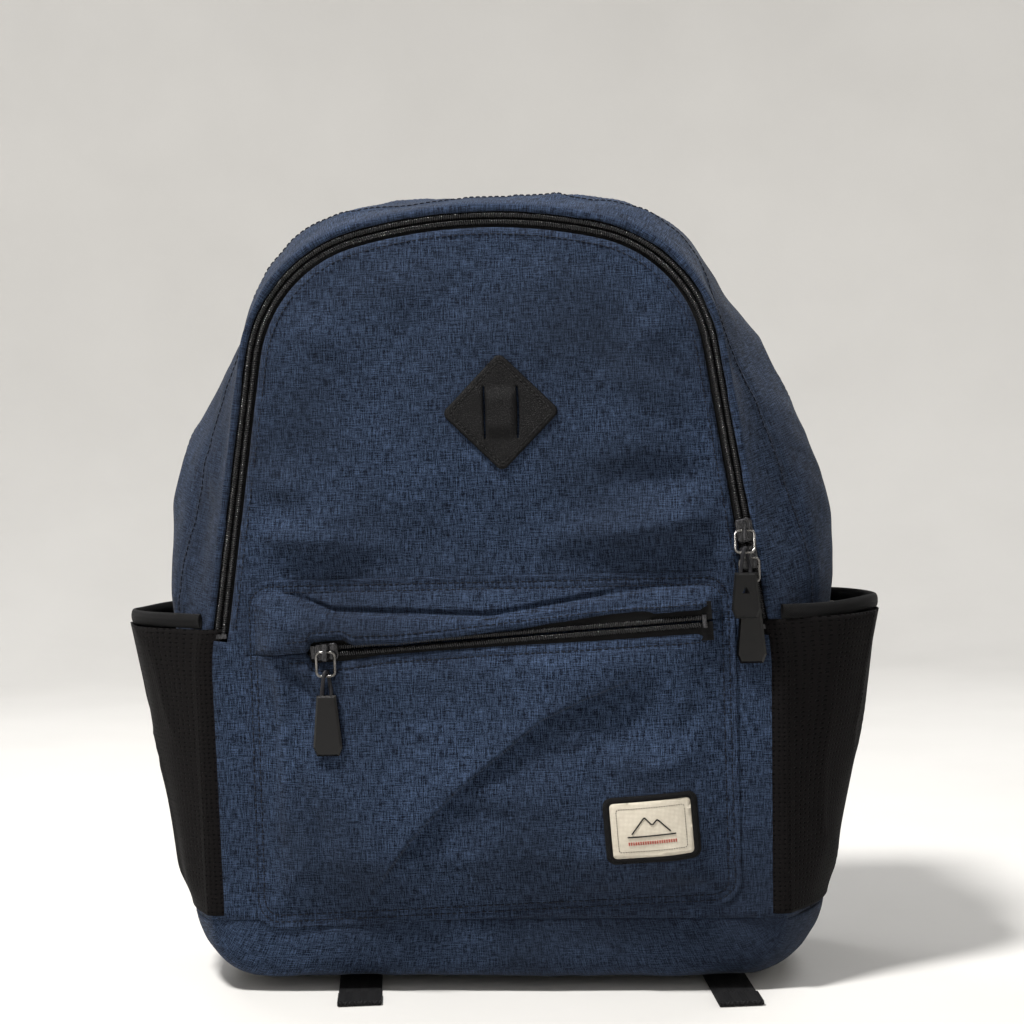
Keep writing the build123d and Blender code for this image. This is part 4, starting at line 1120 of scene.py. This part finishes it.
def slot_row(which, off):
    grid = pocket_grids[which][:-2]
    middle = grid.shape[1] // 2
    row = np.argmin(np.abs(grid[:, middle, 2] - (grid[-1, middle, 2] + which * off)))
    path = grid[row]
    keep = (path[:, 0] > -0.112) & (path[:, 0] < 0.131)
    return path[keep] + np.array([0, -THREAD_LIFT, 0]), FORWARD


rows = [pocket_row(0.0036), pocket_row(0.0072), slot_row(-1, 0.0052), slot_row(1, 0.0052)]
sew("pocket_stitches", rows, "root", "shell_cloth", thread)


def along_pocket_zip(node, off, count):
    """A path over a CAD node of the pocket's zip, at a height above or below the zip's middle."""
    low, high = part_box(node)
    return np.array([(x, (low.y + high.y) / 2, zip_z(x) + off) for x in np.linspace(low.x, high.x, count)])


for name, sign in (("upper", 1), ("lower", -1)):
    node = f"pocket_zip_tape_{name}"
    path = along_pocket_zip(node, sign * TAPE_OFF, 80)
    band = ribbon(f"{node}_strip", path, (0, 0, 1), TAPE_W, TAPE_T, zip_tape)
    settle(band, "root", "zip_tape", node, flat=(0.0103, 0.227))
    node = f"pocket_zip_coil_{name}"
    half = coil(f"{node}_half", along_pocket_zip(node, sign * COIL_OFF, 200), sign)
    settle(half, "root", "zip_coil", node)

# ---------------------------------------------------------------- lash tab

tab_low, tab_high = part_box("lash_tab")
TAB_X, TAB_Z = (tab_low.x + tab_high.x) / 2, (tab_low.z + tab_high.z) / 2
TAB_SIDE, TAB_T = 0.047, 0.0022
SLIT_H, SLIT_X = 0.029, 0.0092


def slit(x, bow):
    """A narrow curved slit in the tab."""
    zs = np.linspace(-SLIT_H / 2, SLIT_H / 2, 12)
    curve = bow * (1 - (2 * zs / SLIT_H) ** 2)
    left = [(TAB_X + x + c - 0.0005, TAB_Z + q) for c, q in zip(curve, zs)]
    right = [(TAB_X + x + c + 0.0006, TAB_Z + q) for c, q in zip(curve[::-1], zs[::-1])]
    return np.array(left + right)


outline = dense(rounded(TAB_SIDE, TAB_SIDE, 0.004, (TAB_X, TAB_Z), math.pi / 4), 0.0012)
tab_edge = KDTree(len(outline))
for i, p in enumerate(outline):
    tab_edge.insert((p[0], p[1], 0), i)
tab_edge.balance()


def tab_depth(x, z, _):
    """The tab's face: thin at its rim, pressed along its seam, and raised between its slits."""
    strip = smooth(0.0098 - np.abs(x - TAB_X), 0, 0.004)
    strip = strip * smooth(SLIT_H / 2 - np.abs(z - TAB_Z), -0.001, 0.008)
    rim = np.array([tab_edge.find((a, b, 0))[2] for a, b in zip(x, z)])
    height = TAB_T - 0.0007 * (1 - smooth(rim, 0.0, 0.0012)) - 0.0004 * bell(rim, 0.0030, 0.0006)
    return front_y(x, z) - height - 0.0026 * strip


sheet_over(
    "lash_tab_patch", outline, tab_depth, (leather,), 0.0018, 0.0013, MIDDLE,
    "flap", "lash_leather", "lash_tab", holes=[slit(-SLIT_X, 0.0), slit(SLIT_X, 0.0006)], flat=(0.047, 0.047),
)
seam_path = joined(dense(rounded(*[TAB_SIDE - 0.006] * 2, 0.0025, (TAB_X, TAB_Z), math.pi / 4), 0.002))
seam_y = front_y(seam_path[:, 0], seam_path[:, 1]) - TAB_T + 0.0002
tab_seam = (standing(seam_path, seam_y), FORWARD)
sew("tab_stitches", [tab_seam], "flap", "lash_leather", black_thread, 0.0030, 0.0022)

# ---------------------------------------------------------------- woven label

label_low, label_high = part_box("label_frame")
LABEL_X, LABEL_Z = (label_low.x + label_high.x) / 2, (label_low.z + label_high.z) / 2
LABEL_W, LABEL_H = label_high.x - label_low.x, label_high.z - label_low.z
LABEL_TURN = math.radians(3.6)


def pocket_y(x, z):
    """Depth of the pocket cloth's face."""
    x, z = np.asarray(x, float), np.asarray(z, float)
    rise, side, _ = pocket_depth(x, z)
    return POCKET_BACK_Y - rise - pocket_folds(x, z) * side


def label_loop(extra_w, extra_h, radius, step):
    return dense(rounded(LABEL_W + extra_w, LABEL_H + extra_h, radius, (LABEL_X, LABEL_Z), LABEL_TURN), step)


def rim_depth(x, z, border):
    return pocket_y(x, z) - 0.0010 - 0.0014 * np.sin(np.clip(border / 0.0031, 0, 1) * math.pi / 2)


rim_outer, rim_inner = label_loop(0.002, 0.001, 0.005, 0.0012), label_loop(-0.0062, -0.0066, 0.0022, 0.0012)
sheet_over(
    "label_rim_border", rim_outer, rim_depth, (binding,), 0.0009, 0.0011, MIDDLE,
    "root", "label_rim", "label_frame", holes=[rim_inner], flat=(0.050, 0.036), area=0.00056,
)
sheet_over(
    "label_face_cloth", label_loop(-0.0056, -0.0056, 0.0022, 0.0015), lambda x, z, b: pocket_y(x, z) - 0.0015,
    (cream_cloth,), 0.0006, 0.0016, MIDDLE,
    "root", "label_cloth", "label_face", flat=(0.044, 0.030),
)


def label_line(points):
    """A path on the label's face from offsets to its centre."""
    c, s = math.cos(LABEL_TURN), math.sin(LABEL_TURN)
    placed = np.array([(LABEL_X + a * c - b * s, LABEL_Z + a * s + b * c) for a, b in points])
    placed = resample(placed, step=0.0006)
    return standing(placed, pocket_y(placed[:, 0], placed[:, 1]) - 0.00160), FORWARD


frame_points = rounded(0.0375, 0.0235, 0.0012)
frame_line = label_line([*frame_points, frame_points[0]])
mountain = [(-0.011, -0.002), (-0.0035, 0.0068), (0.0005, 0.0022), (0.0035, 0.0052), (0.0105, -0.002)]
sew("label_stitches", [frame_line], "root", "label_rim", black_thread, 0.0014, 0.0008, 0.0002)
ground, *dashes = (label_line([(-0.0135, b), (0.0135, b)]) for b in (-0.0035, -0.0066, -0.0072, -0.0078))
sew("label_motif", [label_line(mountain), ground], "root", "label_rim", black_thread, 0.0009, 0.0011, 0.00042)
sew("label_dashes", dashes, "root", "label_cloth", red_thread, 0.0013, 0.0009, 0.00032)

# ---------------------------------------------------------------- mesh side pockets

MESH_WRAP = (  # the mesh's front edge folded round: across, forward, and distance to its first column
    (0.0150, -0.0016, 0.0165), (0.0112, -0.0028, 0.0125), (0.0072, -0.0034, 0.009), (0.0040, -0.0033, 0.006),
    (0.0012, -0.0022, 0.003),
)


def side_x(tree, sign, y, z):
    """Where a solid's outer side is at (y, z), or None."""
    hit = tree.ray_cast(Vector((sign * 0.4, y, z)), Vector((-sign, 0, 0)))[0]
    return hit.x if hit is not None else None


def mesh_pocket(side, sign):
    """The slack mesh over a pocket's solid, with its front edge folded round."""
    skin = tree_of([f"side_pocket_{side}"])
    low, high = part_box(f"side_pocket_{side}")
    ys = np.linspace(low.y + 0.0004, high.y - 0.0004, 60)
    zs = np.linspace(low.z, high.z, 66)
    grid = np.zeros((len(zs), len(ys), 3))
    for i, z in enumerate(zs):
        for j, y in enumerate(ys):
            x = side_x(skin, sign, y, z)
            grid[i, j] = (grid[i - 1, j, 0] if x is None else x, y, z)
    v, h = np.meshgrid(ys, zs)
    edge = smooth(v - ys[0], 0, 0.02) * smooth(ys[-1] - v, 0, 0.02) * smooth(h - zs[0], 0, 0.02)
    sag = 0.0022 * patchy(v, h, 0.05, 121 + sign) + 0.0012 * patchy(v * 1.4, h * 0.6, 0.03, 131 + sign)
    fold = 1 - np.abs(patchy(v * 1.5, h * 0.45, 0.035, 141 + sign))
    grid[..., 0] += sign * (0.0022 + sag + 0.0022 * (fold**4 - 0.2)) * edge
    wrapped = [grid[:, :1] + np.array([-sign * a, b, 0.0]) for a, b, _ in MESH_WRAP]
    grid = np.concatenate([*wrapped, grid], axis=1)
    uv = np.stack(np.meshgrid([*(ys[0] - d for _, _, d in MESH_WRAP), *ys], zs), -1)
    piece = grid_object(f"side_pocket_{side}_mesh", grid, side_mesh, uv=uv)
    outward(piece, MIDDLE)
    thicken(piece, 0.0010)
    settle(piece, "root", "side_mesh", f"side_pocket_{side}", flat=(0.155, 0.166))


def pocket_binding(side, sign):
    """The elastic band rolled over the top of a mesh pocket."""
    skin = tree_of([f"pocket_binding_{side}"])
    low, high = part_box(f"pocket_binding_{side}")
    ys = np.linspace(low.y + 0.0004, high.y - 0.0004, 70)
    middle = (low.z + high.z) / 2
    path = []
    for y in ys:
        x = side_x(skin, sign, y, middle)
        path.append((path[-1][0] if x is None else x - sign * 0.0014, y, middle))
    path = np.array(path)
    path[:, 2] += 0.0012 * patchy(path[:, 1], path[:, 1] * 0, 0.03, 151 + sign)
    name = f"pocket_binding_{side}_band"
    rolled = tube(name, path, 0.0042, binding, sides=14, squash=0.42, up=(sign, 0, 0))
    settle(rolled, "root", "binding", f"pocket_binding_{side}", flat=(0.0105, 0.150))


LEFT_RIGHT = (("left", -1), ("right", 1))
for side, sign in LEFT_RIGHT:
    mesh_pocket(side, sign)
    pocket_binding(side, sign)

# ---------------------------------------------------------------- back panel, lining and sleeve


def back_loop(inset, count=420):
    return outlines[-1].at(np.linspace(0, outlines[-1].total, count, endpoint=False), inset)


BACK_FACE_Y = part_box("back_panel")[1].y


def back_depth(x, z, border):
    wave = 0.0010 * patchy(x, z, 0.06, 161) + 0.0004 * patchy(x, z, 0.02, 162)
    return BACK_FACE_Y - 0.0018 + (wave + 0.0012) * smooth(border, 0.0, 0.02)


sheet_over(
    "back_cloth", back_loop(0.0), back_depth, (shell, lining), 0.0016, 0.005, MIDDLE,
    "root", "shell_cloth", "back_panel", flat=(0.33, 0.43), area=0.125,
)
foam_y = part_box("back_foam")[0].y
sheet_over(
    "back_foam_sheet", back_loop(0.012), lambda x, z, b: foam_y + 0.0012 * patchy(x, z, 0.08, 163),
    (foam_felt,), 0.004, 0.007, (0, 0.5, MIDDLE_Z),
    "root", "foam", "back_foam", flat=(0.31, 0.41), area=0.112,
)
ring_path = standing(joined(back_loop(0.006, 300)), BACK_Y - 0.0011)
bound = tube("seam_binding_tape", ring_path[:-1], 0.0028, binding, sides=8, closed=True, squash=0.36)
settle(bound, "root", "binding", "seam_binding", flat=(0.0105, 1.30), area=0.0085)

sleeve_low, sleeve_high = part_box("laptop_sleeve")
SLEEVE_W = sleeve_high.x - sleeve_low.x
sleeve_mid = (sleeve_low.z + sleeve_high.z) / 2


def sleeve_grid():
    """The sleeve's front wall with its two sides turned back to the foam, open at the top."""
    half = SLEEVE_W / 2
    side_ys = (sleeve_high.y, (sleeve_low.y + sleeve_high.y) / 2, sleeve_low.y + 0.002)
    columns = [(-half, y) for y in side_ys]
    columns += [(x, sleeve_low.y + 0.0006) for x in np.linspace(-half + 0.003, half - 0.003, 60)]
    columns += [(half, y) for y in side_ys[::-1]]
    zs = np.linspace(sleeve_low.z, sleeve_high.z, 60)
    grid = np.array([[(x, y, z) for x, y in columns] for z in zs])
    x, z = grid[..., 0], grid[..., 2]
    inner = smooth(half - np.abs(x), 0.0, 0.03) * smooth(z, sleeve_low.z, sleeve_low.z + 0.03)
    grid[..., 1] += (0.0016 * patchy(x, z, 0.07, 165) + 0.0012) * inner
    return grid


sleeve = grid_object("laptop_sleeve_cloth", sleeve_grid(), lining)
outward(sleeve, (0, 0.1, sleeve_mid))
thicken(sleeve, 0.0014)
settle(sleeve, "root", "lining_cloth", "laptop_sleeve", flat=(0.276, 0.266))
low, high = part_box("sleeve_binding")
middle = (low + high) / 2
path = np.array([(x, middle.y, middle.z) for x in np.linspace(low.x, high.x, 70)])
path[:, 1] += 0.0006 * patchy(path[:, 0], path[:, 0] * 0, 0.05, 166)
bound = tube("sleeve_binding_tape", path, 0.0050, webbing, sides=12, squash=0.28)
settle(bound, "root", "binding", "sleeve_binding", flat=(0.0112, 0.252))

# ---------------------------------------------------------------- back pads and straps


def pillow(name, outline, y_base, height_of, material, spacing, slot_name, replaced, body):
    """A crowned pad on the back: height_of(x, z, border) is its thickness over y_base."""
    flat, triangles, border = region(outline, [], spacing)
    h = np.maximum(height_of(flat[:, 0], flat[:, 1], border), 0.0)
    faces = np.vstack([triangles, triangles[:, ::-1] + len(flat)])
    points = np.vstack([standing(flat, y_base + h), standing(flat, y_base)])
    piece = make_object(name, points, faces, np.vstack([flat, flat]), material)
    modifier(piece, "WELD", merge_threshold=0.0002)
    apply_modifiers(piece)
    outward(piece, piece_centre(piece))
    settle(piece, body, slot_name, *replaced)
    return piece


def piece_centre(piece):
    corners = [Vector(c) for c in piece.bound_box]
    return sum(corners, Vector()) / 8


PAD_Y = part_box("back_pad_left")[0].y
PAD_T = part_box("back_pad_left")[1].y - PAD_Y
pad_rows = []


def pad_height(channels, columns, seed):
    """Crown of a pad: a thin sewn edge, a rounded rise, and sewn channels across it and up it."""

    def height(x, z, border):
        rise = 0.0018 + (PAD_T - 0.0012) * smooth(border, 0.003, 0.020) ** 0.7
        for c in channels:
            rise = rise - 0.0050 * bell(z, c, 0.0035) * smooth(border, 0.002, 0.012)
        rise = rise + 0.0008 * patchy(x, z, 0.03, seed) * smooth(border, 0.004, 0.02)
        rise = np.where(border < 1e-6, 0.0, rise)
        for c in columns:
            rise = rise - 0.0045 * bell(np.abs(x), c, 0.0035) * smooth(border, 0.002, 0.012)
        return rise

    return height


CHANNELS = (0.190, 0.252, 0.314)  # heights of the sewn channels across the two upper pads
COLUMNS = (0.037,)  # distance of the lumbar pad's upright channels from its middle
for name, channels, columns, seed in (
    ("back_pad_left", CHANNELS, (), 171), ("back_pad_right", CHANNELS, (), 172),
    ("lumbar_pad", (), COLUMNS, 173),
):
    low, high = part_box(name)
    width, tall = high.x - low.x, high.z - low.z
    centre = ((low.x + high.x) / 2, (low.z + high.z) / 2)
    outline = dense(rounded(width, tall, 0.016, centre), 0.004)
    height = pad_height(channels, columns, seed)
    pillow(f"{name}_cushion", outline, PAD_Y, height, air_mesh, 0.004, "air_mesh", [name], "root")
    edge_path = joined(dense(rounded(width - 0.005, tall - 0.005, 0.0135, centre), 0.003))
    pad_rows.append((standing(edge_path, PAD_Y + 0.0020), BACKWARD))

yoke_low, yoke_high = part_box("strap_yoke")
yoke_centre = ((yoke_low.x + yoke_high.x) / 2, (yoke_low.z + yoke_high.z) / 2)
YOKE_W, YOKE_H = yoke_high.x - yoke_low.x, yoke_high.z - yoke_low.z
sheet_over(
    "strap_yoke_patch", dense(rounded(YOKE_W, YOKE_H, 0.010, yoke_centre), 0.004),
    lambda x, z, b: yoke_high.y - 0.0012 * (1 - smooth(b, 0.0, 0.004)) + 0.0003 * patchy(x, z, 0.02, 175),
    (shell, lining), 0.0014, 0.004, MIDDLE, "root", "shell_cloth", "strap_yoke", flat=(0.216, 0.050),
)
for off in (0.003, 0.007):
    path = joined(dense(rounded(YOKE_W - 2 * off, YOKE_H - 2 * off, 0.010 - off, yoke_centre), 0.003))
    pad_rows.append((standing(path, yoke_high.y + 0.0001), BACKWARD))
sew("back_stitches", pad_rows, "root", "shell_cloth", black_thread, 0.0034, 0.0026)

STRAP_W = 0.062
SPLAY = math.radians(6.0)
AROUND = 40  # points round a shoulder strap
WEBBING_W, WEBBING_T = 0.025, 0.0014


def lock_place(side):
    """Middle x and lowest z of a ladder lock."""
    low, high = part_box(f"ladder_lock_{side}")
    return (low.x + high.x) / 2, low.z


def strap_stations(side, sign, count=64):
    """Middle, thickness and direction of a shoulder strap at stations down its length, from its solid."""
    tree = tree_of([f"shoulder_strap_{side}"])
    low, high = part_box(f"shoulder_strap_{side}")
    stations = []
    for z in np.linspace(high.z - 0.0045, low.z + 0.0055, count):
        x = sign * (0.078 + (0.428 - z) * math.tan(SPLAY))
        outer = tree.ray_cast(Vector((x, 0.3, z)), Vector((0, -1, 0)))[0]
        inner = tree.ray_cast(Vector((x, 0.0, z)), Vector((0, 1, 0)))[0]
        if outer is not None and inner is not None:
            stations.append((x, (outer.y + inner.y) / 2, z, outer.y - inner.y))
    return np.array(stations)


def shoulder_strap(side, sign):
    """A padded strap with its piping, its stitches and the webbing lug that holds its ladder lock."""
    body = f"strap_{side}"
    stations = strap_stations(side, sign)
    path = resample(stations, 72)
    centre, thick = path[:, :3], path[:, 3]
    ahead = unit(np.gradient(centre, axis=0))
    across = unit(np.cross(ahead, np.array([0.0, 1.0, 0.0])))
    over = np.cross(across, ahead)
    if over[:, 1].mean() < 0:
        over = -over
    t = np.linspace(0, 1, len(centre))
    half_w = STRAP_W / 2 - 0.0008 - 0.006 * smooth(t, 0.86, 1.0)
    cos_lean = np.abs(over[:, 1])
    half_t = thick * cos_lean / 2 - 0.0004
    ends = smooth(t, 0.0, 0.03) * smooth(1 - t, 0.0, 0.03)
    angle = np.linspace(0, 2 * math.pi, AROUND, endpoint=False)
    ca, sa = np.cos(angle), np.sin(angle)
    wide = np.sign(ca) * np.abs(ca) ** 0.55
    crown = np.sign(sa) * np.abs(sa) ** 0.8
    edge_thin = 0.42 + 0.58 * (1 - np.abs(wide) ** 6)
    quilt = 1 - 0.10 * bell(np.abs(wide), 0.72, 0.05)
    out = np.outer(half_w, wide)[..., None] * across[:, None]
    up = np.outer(half_t * (0.35 + 0.65 * ends), crown * edge_thin * quilt)[..., None] * over[:, None]
    grid = centre[:, None] + out + up
    arc = lengths_along(centre)
    uv = np.stack(np.broadcast_arrays(wide[None] * STRAP_W / 2 + 0.002 * crown[None], arc[:, None]), -1)
    faces = list(map(tuple, grid_faces(*grid.shape[:2], wrap=True)))
    faces += end_caps(len(centre), AROUND)
    uneven = 0.0004 * patchy(uv[..., 0], uv[..., 1], 0.02, 181 + sign) * ends[:, None]
    grid = grid + over[:, None] * uneven[..., None]
    name = f"shoulder_strap_{side}_pad"
    pad = make_object(name, grid.reshape(-1, 3), faces, uv.reshape(-1, 2), shell, air_mesh)
    outward(pad, piece_centre(pad))
    pad.data.update()
    for k, p in enumerate(pad.data.polygons):
        p.material_index = 1 if crown[k % AROUND] + crown[(k + 1) % AROUND] < -0.4 else 0
    settle(pad, body, "shell_cloth", f"shoulder_strap_{side}")
    edge_loop = np.vstack([centre + across * half_w[:, None], (centre - across * half_w[:, None])[::-1]])
    piping = tube(f"strap_piping_{side}", edge_loop, 0.0019, binding, closed=True, up=BACKWARD)
    settle(piping, body, "binding")
    runs = []
    for off in (-0.014, 0.014):
        lifted = centre + across * off + over * (half_t * 0.93)[:, None]
        runs.append((lifted[3:-3], over[3:-3]))
    sew(f"strap_stitches_{side}", runs, body, "shell_cloth", black_thread, 0.0036, 0.0028)
    end = slice(-14, None)
    on_top = centre[end] + over[end] * (half_t[end] + 0.0005)[:, None]
    lug = ribbon(f"strap_lug_{side}", on_top, across[end], WEBBING_W, WEBBING_T, webbing)
    settle(lug, body, "webbing", flat=(0.025, 0.055))
    finish_node(f"ladder_lock_{side}", acetal)


def lower_webbing(side, sign):
    """The anchor tab at the bag's lower corner, and the webbing from it up to the ladder lock."""
    low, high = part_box(f"anchor_tab_{side}")
    corners = (
        (0.149, low.z + 0.001), (0.157, low.z + 0.010), (0.159, high.z), (0.124, high.z - 0.004),
        (0.132, low.z + 0.014),
    )
    outline = np.array([(sign * x, z) for x, z in corners][::sign])
    sheet_over(
        f"anchor_tab_{side}_patch", dense(outline, 0.002),
        lambda x, z, b: high.y - 0.0010 * (1 - smooth(b, 0.0, 0.003)), (shell, lining), 0.0016, 0.003, MIDDLE,
        "root", "shell_cloth", f"anchor_tab_{side}", flat=(0.036, 0.044), area=0.00115,
    )
    lock_x, lock_z = lock_place(side)
    start = np.array([sign * 0.136, PAD_Y + 0.0041, 0.042])
    stop = np.array([lock_x + sign * 0.001, 0.0846, lock_z - 0.0055])
    path = np.array([start + (stop - start) * k / 40 for k in range(41)])
    path[:, 1] += 0.0022 * np.sin(np.linspace(0, math.pi, 41))
    strip = ribbon(f"strap_webbing_{side}_band", path, (1, 0, 0), WEBBING_W, WEBBING_T, webbing)
    settle_bent(strip, f"strap_{side}", tuple(start), tuple(stop), "webbing", f"strap_webbing_{side}")


for side, sign in LEFT_RIGHT:
    shoulder_strap(side, sign)
    lower_webbing(side, sign)

TAIL_Y, TURN_R, LIE_Z, HEM = 0.092, 0.014, 0.0009, 0.0012  # where a free end comes down, turns, lies and ends


def tail_path(side, tip_x):
    """A free end: down from the ladder lock, a turn at the floor, forward under the bag and a folded hem."""
    start = Vector((lock_place(side)[0], TAIL_Y, 0.0))
    run = Vector((tip_x, -0.1083, 0.0)) - start
    way, reach = run.normalized(), run.length
    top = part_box(f"strap_tail_{side}")[1].z
    spots = [(0.0008 + 0.0016 * math.sin(z * 40), z) for z in np.linspace(top, TURN_R, 36)]
    for a in np.linspace(0, math.pi / 2, 10)[1:]:
        spots.append((TURN_R - (TURN_R - 0.0008) * math.cos(a), TURN_R - (TURN_R - LIE_Z) * math.sin(a)))
    spots += [(d, LIE_Z) for d in np.linspace(TURN_R, reach - HEM, 60)[1:]]
    for a in np.linspace(0, math.pi, 7)[1:]:
        spots.append((reach - HEM + 0.0008 * math.sin(a), LIE_Z + 0.0008 * (1 - math.cos(a))))
    spots += [(d, 0.0025) for d in np.linspace(reach - 0.0030, reach - 0.020, 8)]
    points = [start + way * d + Vector((0, 0, z)) for d, z in spots]
    return np.array([tuple(p) for p in points]), np.array(way.cross(Vector((0, 0, 1))))


for side, tip_x, length in (("left", -0.074, 0.405), ("right", 0.137, 0.37)):
    path, side_way = tail_path(side, tip_x)
    lock_x, lock_z = lock_place(side)
    strip = ribbon(f"strap_tail_{side}_band", path, side_way, 0.0245, 0.0013, webbing)
    low, high = (path[0][0], TAIL_Y, 0.015), (path[0][0], TAIL_Y, lock_z)
    settle_bent(strip, f"strap_{side}", low, high, "webbing", f"strap_tail_{side}")

# ---------------------------------------------------------------- grab handle

low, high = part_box("grab_handle")
HANDLE_R = (high.y - low.y) / 2
HANDLE_HALF, HANDLE_DROP, HANDLE_TOP_Z = 0.030, 0.042, 0.436  # half its span, and how far it hangs down
handle_y = (low.y + high.y) / 2
radius = (HANDLE_HALF**2 + HANDLE_DROP**2) / (2 * HANDLE_DROP)
centre_z = HANDLE_TOP_Z - HANDLE_DROP + radius
turn = math.atan2(HANDLE_HALF, centre_z - HANDLE_TOP_Z)
angles = np.linspace(-turn, turn, 70)
path = np.stack([radius * np.sin(angles), np.full(70, handle_y), centre_z - radius * np.cos(angles)], 1)
path[:, 1] -= 0.0035 * smooth(path[:, 2], 0.424, 0.436)
swell = HANDLE_R * (0.80 + 0.16 * np.sin(np.linspace(0, math.pi, 70)))
handle = tube("grab_handle_roll", path, swell, webbing, sides=18, up=(0.0, 1.0, 0.0), squash=0.92)
settle(handle, "grab_handle", "webbing", "grab_handle")
seam = path + np.array([0, 1, 0]) * (swell * 0.92)[:, None]
sew("handle_stitches", [(seam[4:-4], (0, 1, 0))], "grab_handle", "webbing", black_thread, 0.0034, 0.0026)

# ---------------------------------------------------------------- floor, backdrop and light

STUDIO_R, STUDIO_H, COVE_R = 2.3, 3.0, 0.7
stage_shader = Shader("stage_paint", roughness=0.9, specular_ior_level=0.2)
tone = stage_shader.noise(stage_shader.place(), 6.0, 4.0)
stage_shader.colour(stage_shader.mix(tone, (0.57, 0.561, 0.545), (0.63, 0.621, 0.604)))
stage_shader.bump(stage_shader.noise(stage_shader.place(), 60.0, 4.0), 0.001, 0.2)
FLOOR_R = STUDIO_R - COVE_R
profile = [(0.0, 0.0), (0.6, 0.0), (FLOOR_R, 0.0)]
profile += [
    (FLOOR_R + COVE_R * math.sin(a), COVE_R * (1 - math.cos(a))) for a in np.linspace(0.1, math.pi / 2, 14)
]
profile += [(STUDIO_R, STUDIO_H)]
turns = np.linspace(0, 2 * math.pi, 97)
studio = np.array([[(r * math.cos(a), r * math.sin(a), z) for a in turns] for r, z in profile])
backdrop = grid_object("backdrop", studio, stage_shader.material)


def area_light(name, place, target, size, power, colour=(1, 1, 1)):
    data = bpy.data.lights.new(name, "AREA")
    data.shape = "DISK"
    data.size = size
    data.energy = power
    data.color = colour
    lamp = bpy.data.objects.new(name, data)
    lamp.location = place
    lamp.rotation_mode = "QUATERNION"
    lamp.rotation_quaternion = (Vector(target) - Vector(place)).to_track_quat("-Z", "Y")
    scene.collection.objects.link(lamp)


area_light("key", (-0.62, -0.76, 2.10), (0, 0, 0.2), 0.34, 74, (1.0, 0.985, 0.96))
area_light("fill", (1.5, -1.6, 0.7), (0, 0, 0.2), 1.4, 3, (0.95, 0.97, 1.0))
area_light("rim", (0.9, 0.9, 1.5), (0, 0, 0.25), 0.9, 12)
area_light("rim_left", (-1.0, 1.0, 1.3), (0, 0, 0.25), 0.9, 10)
world = bpy.data.worlds.new("studio")
world.use_nodes = True
world.node_tree.nodes["Background"].inputs[0].default_value = (0.90, 0.93, 1.0, 1.0)
world.node_tree.nodes["Background"].inputs[1].default_value = 0.16
scene.world = world

bpy.context.view_layer.update()
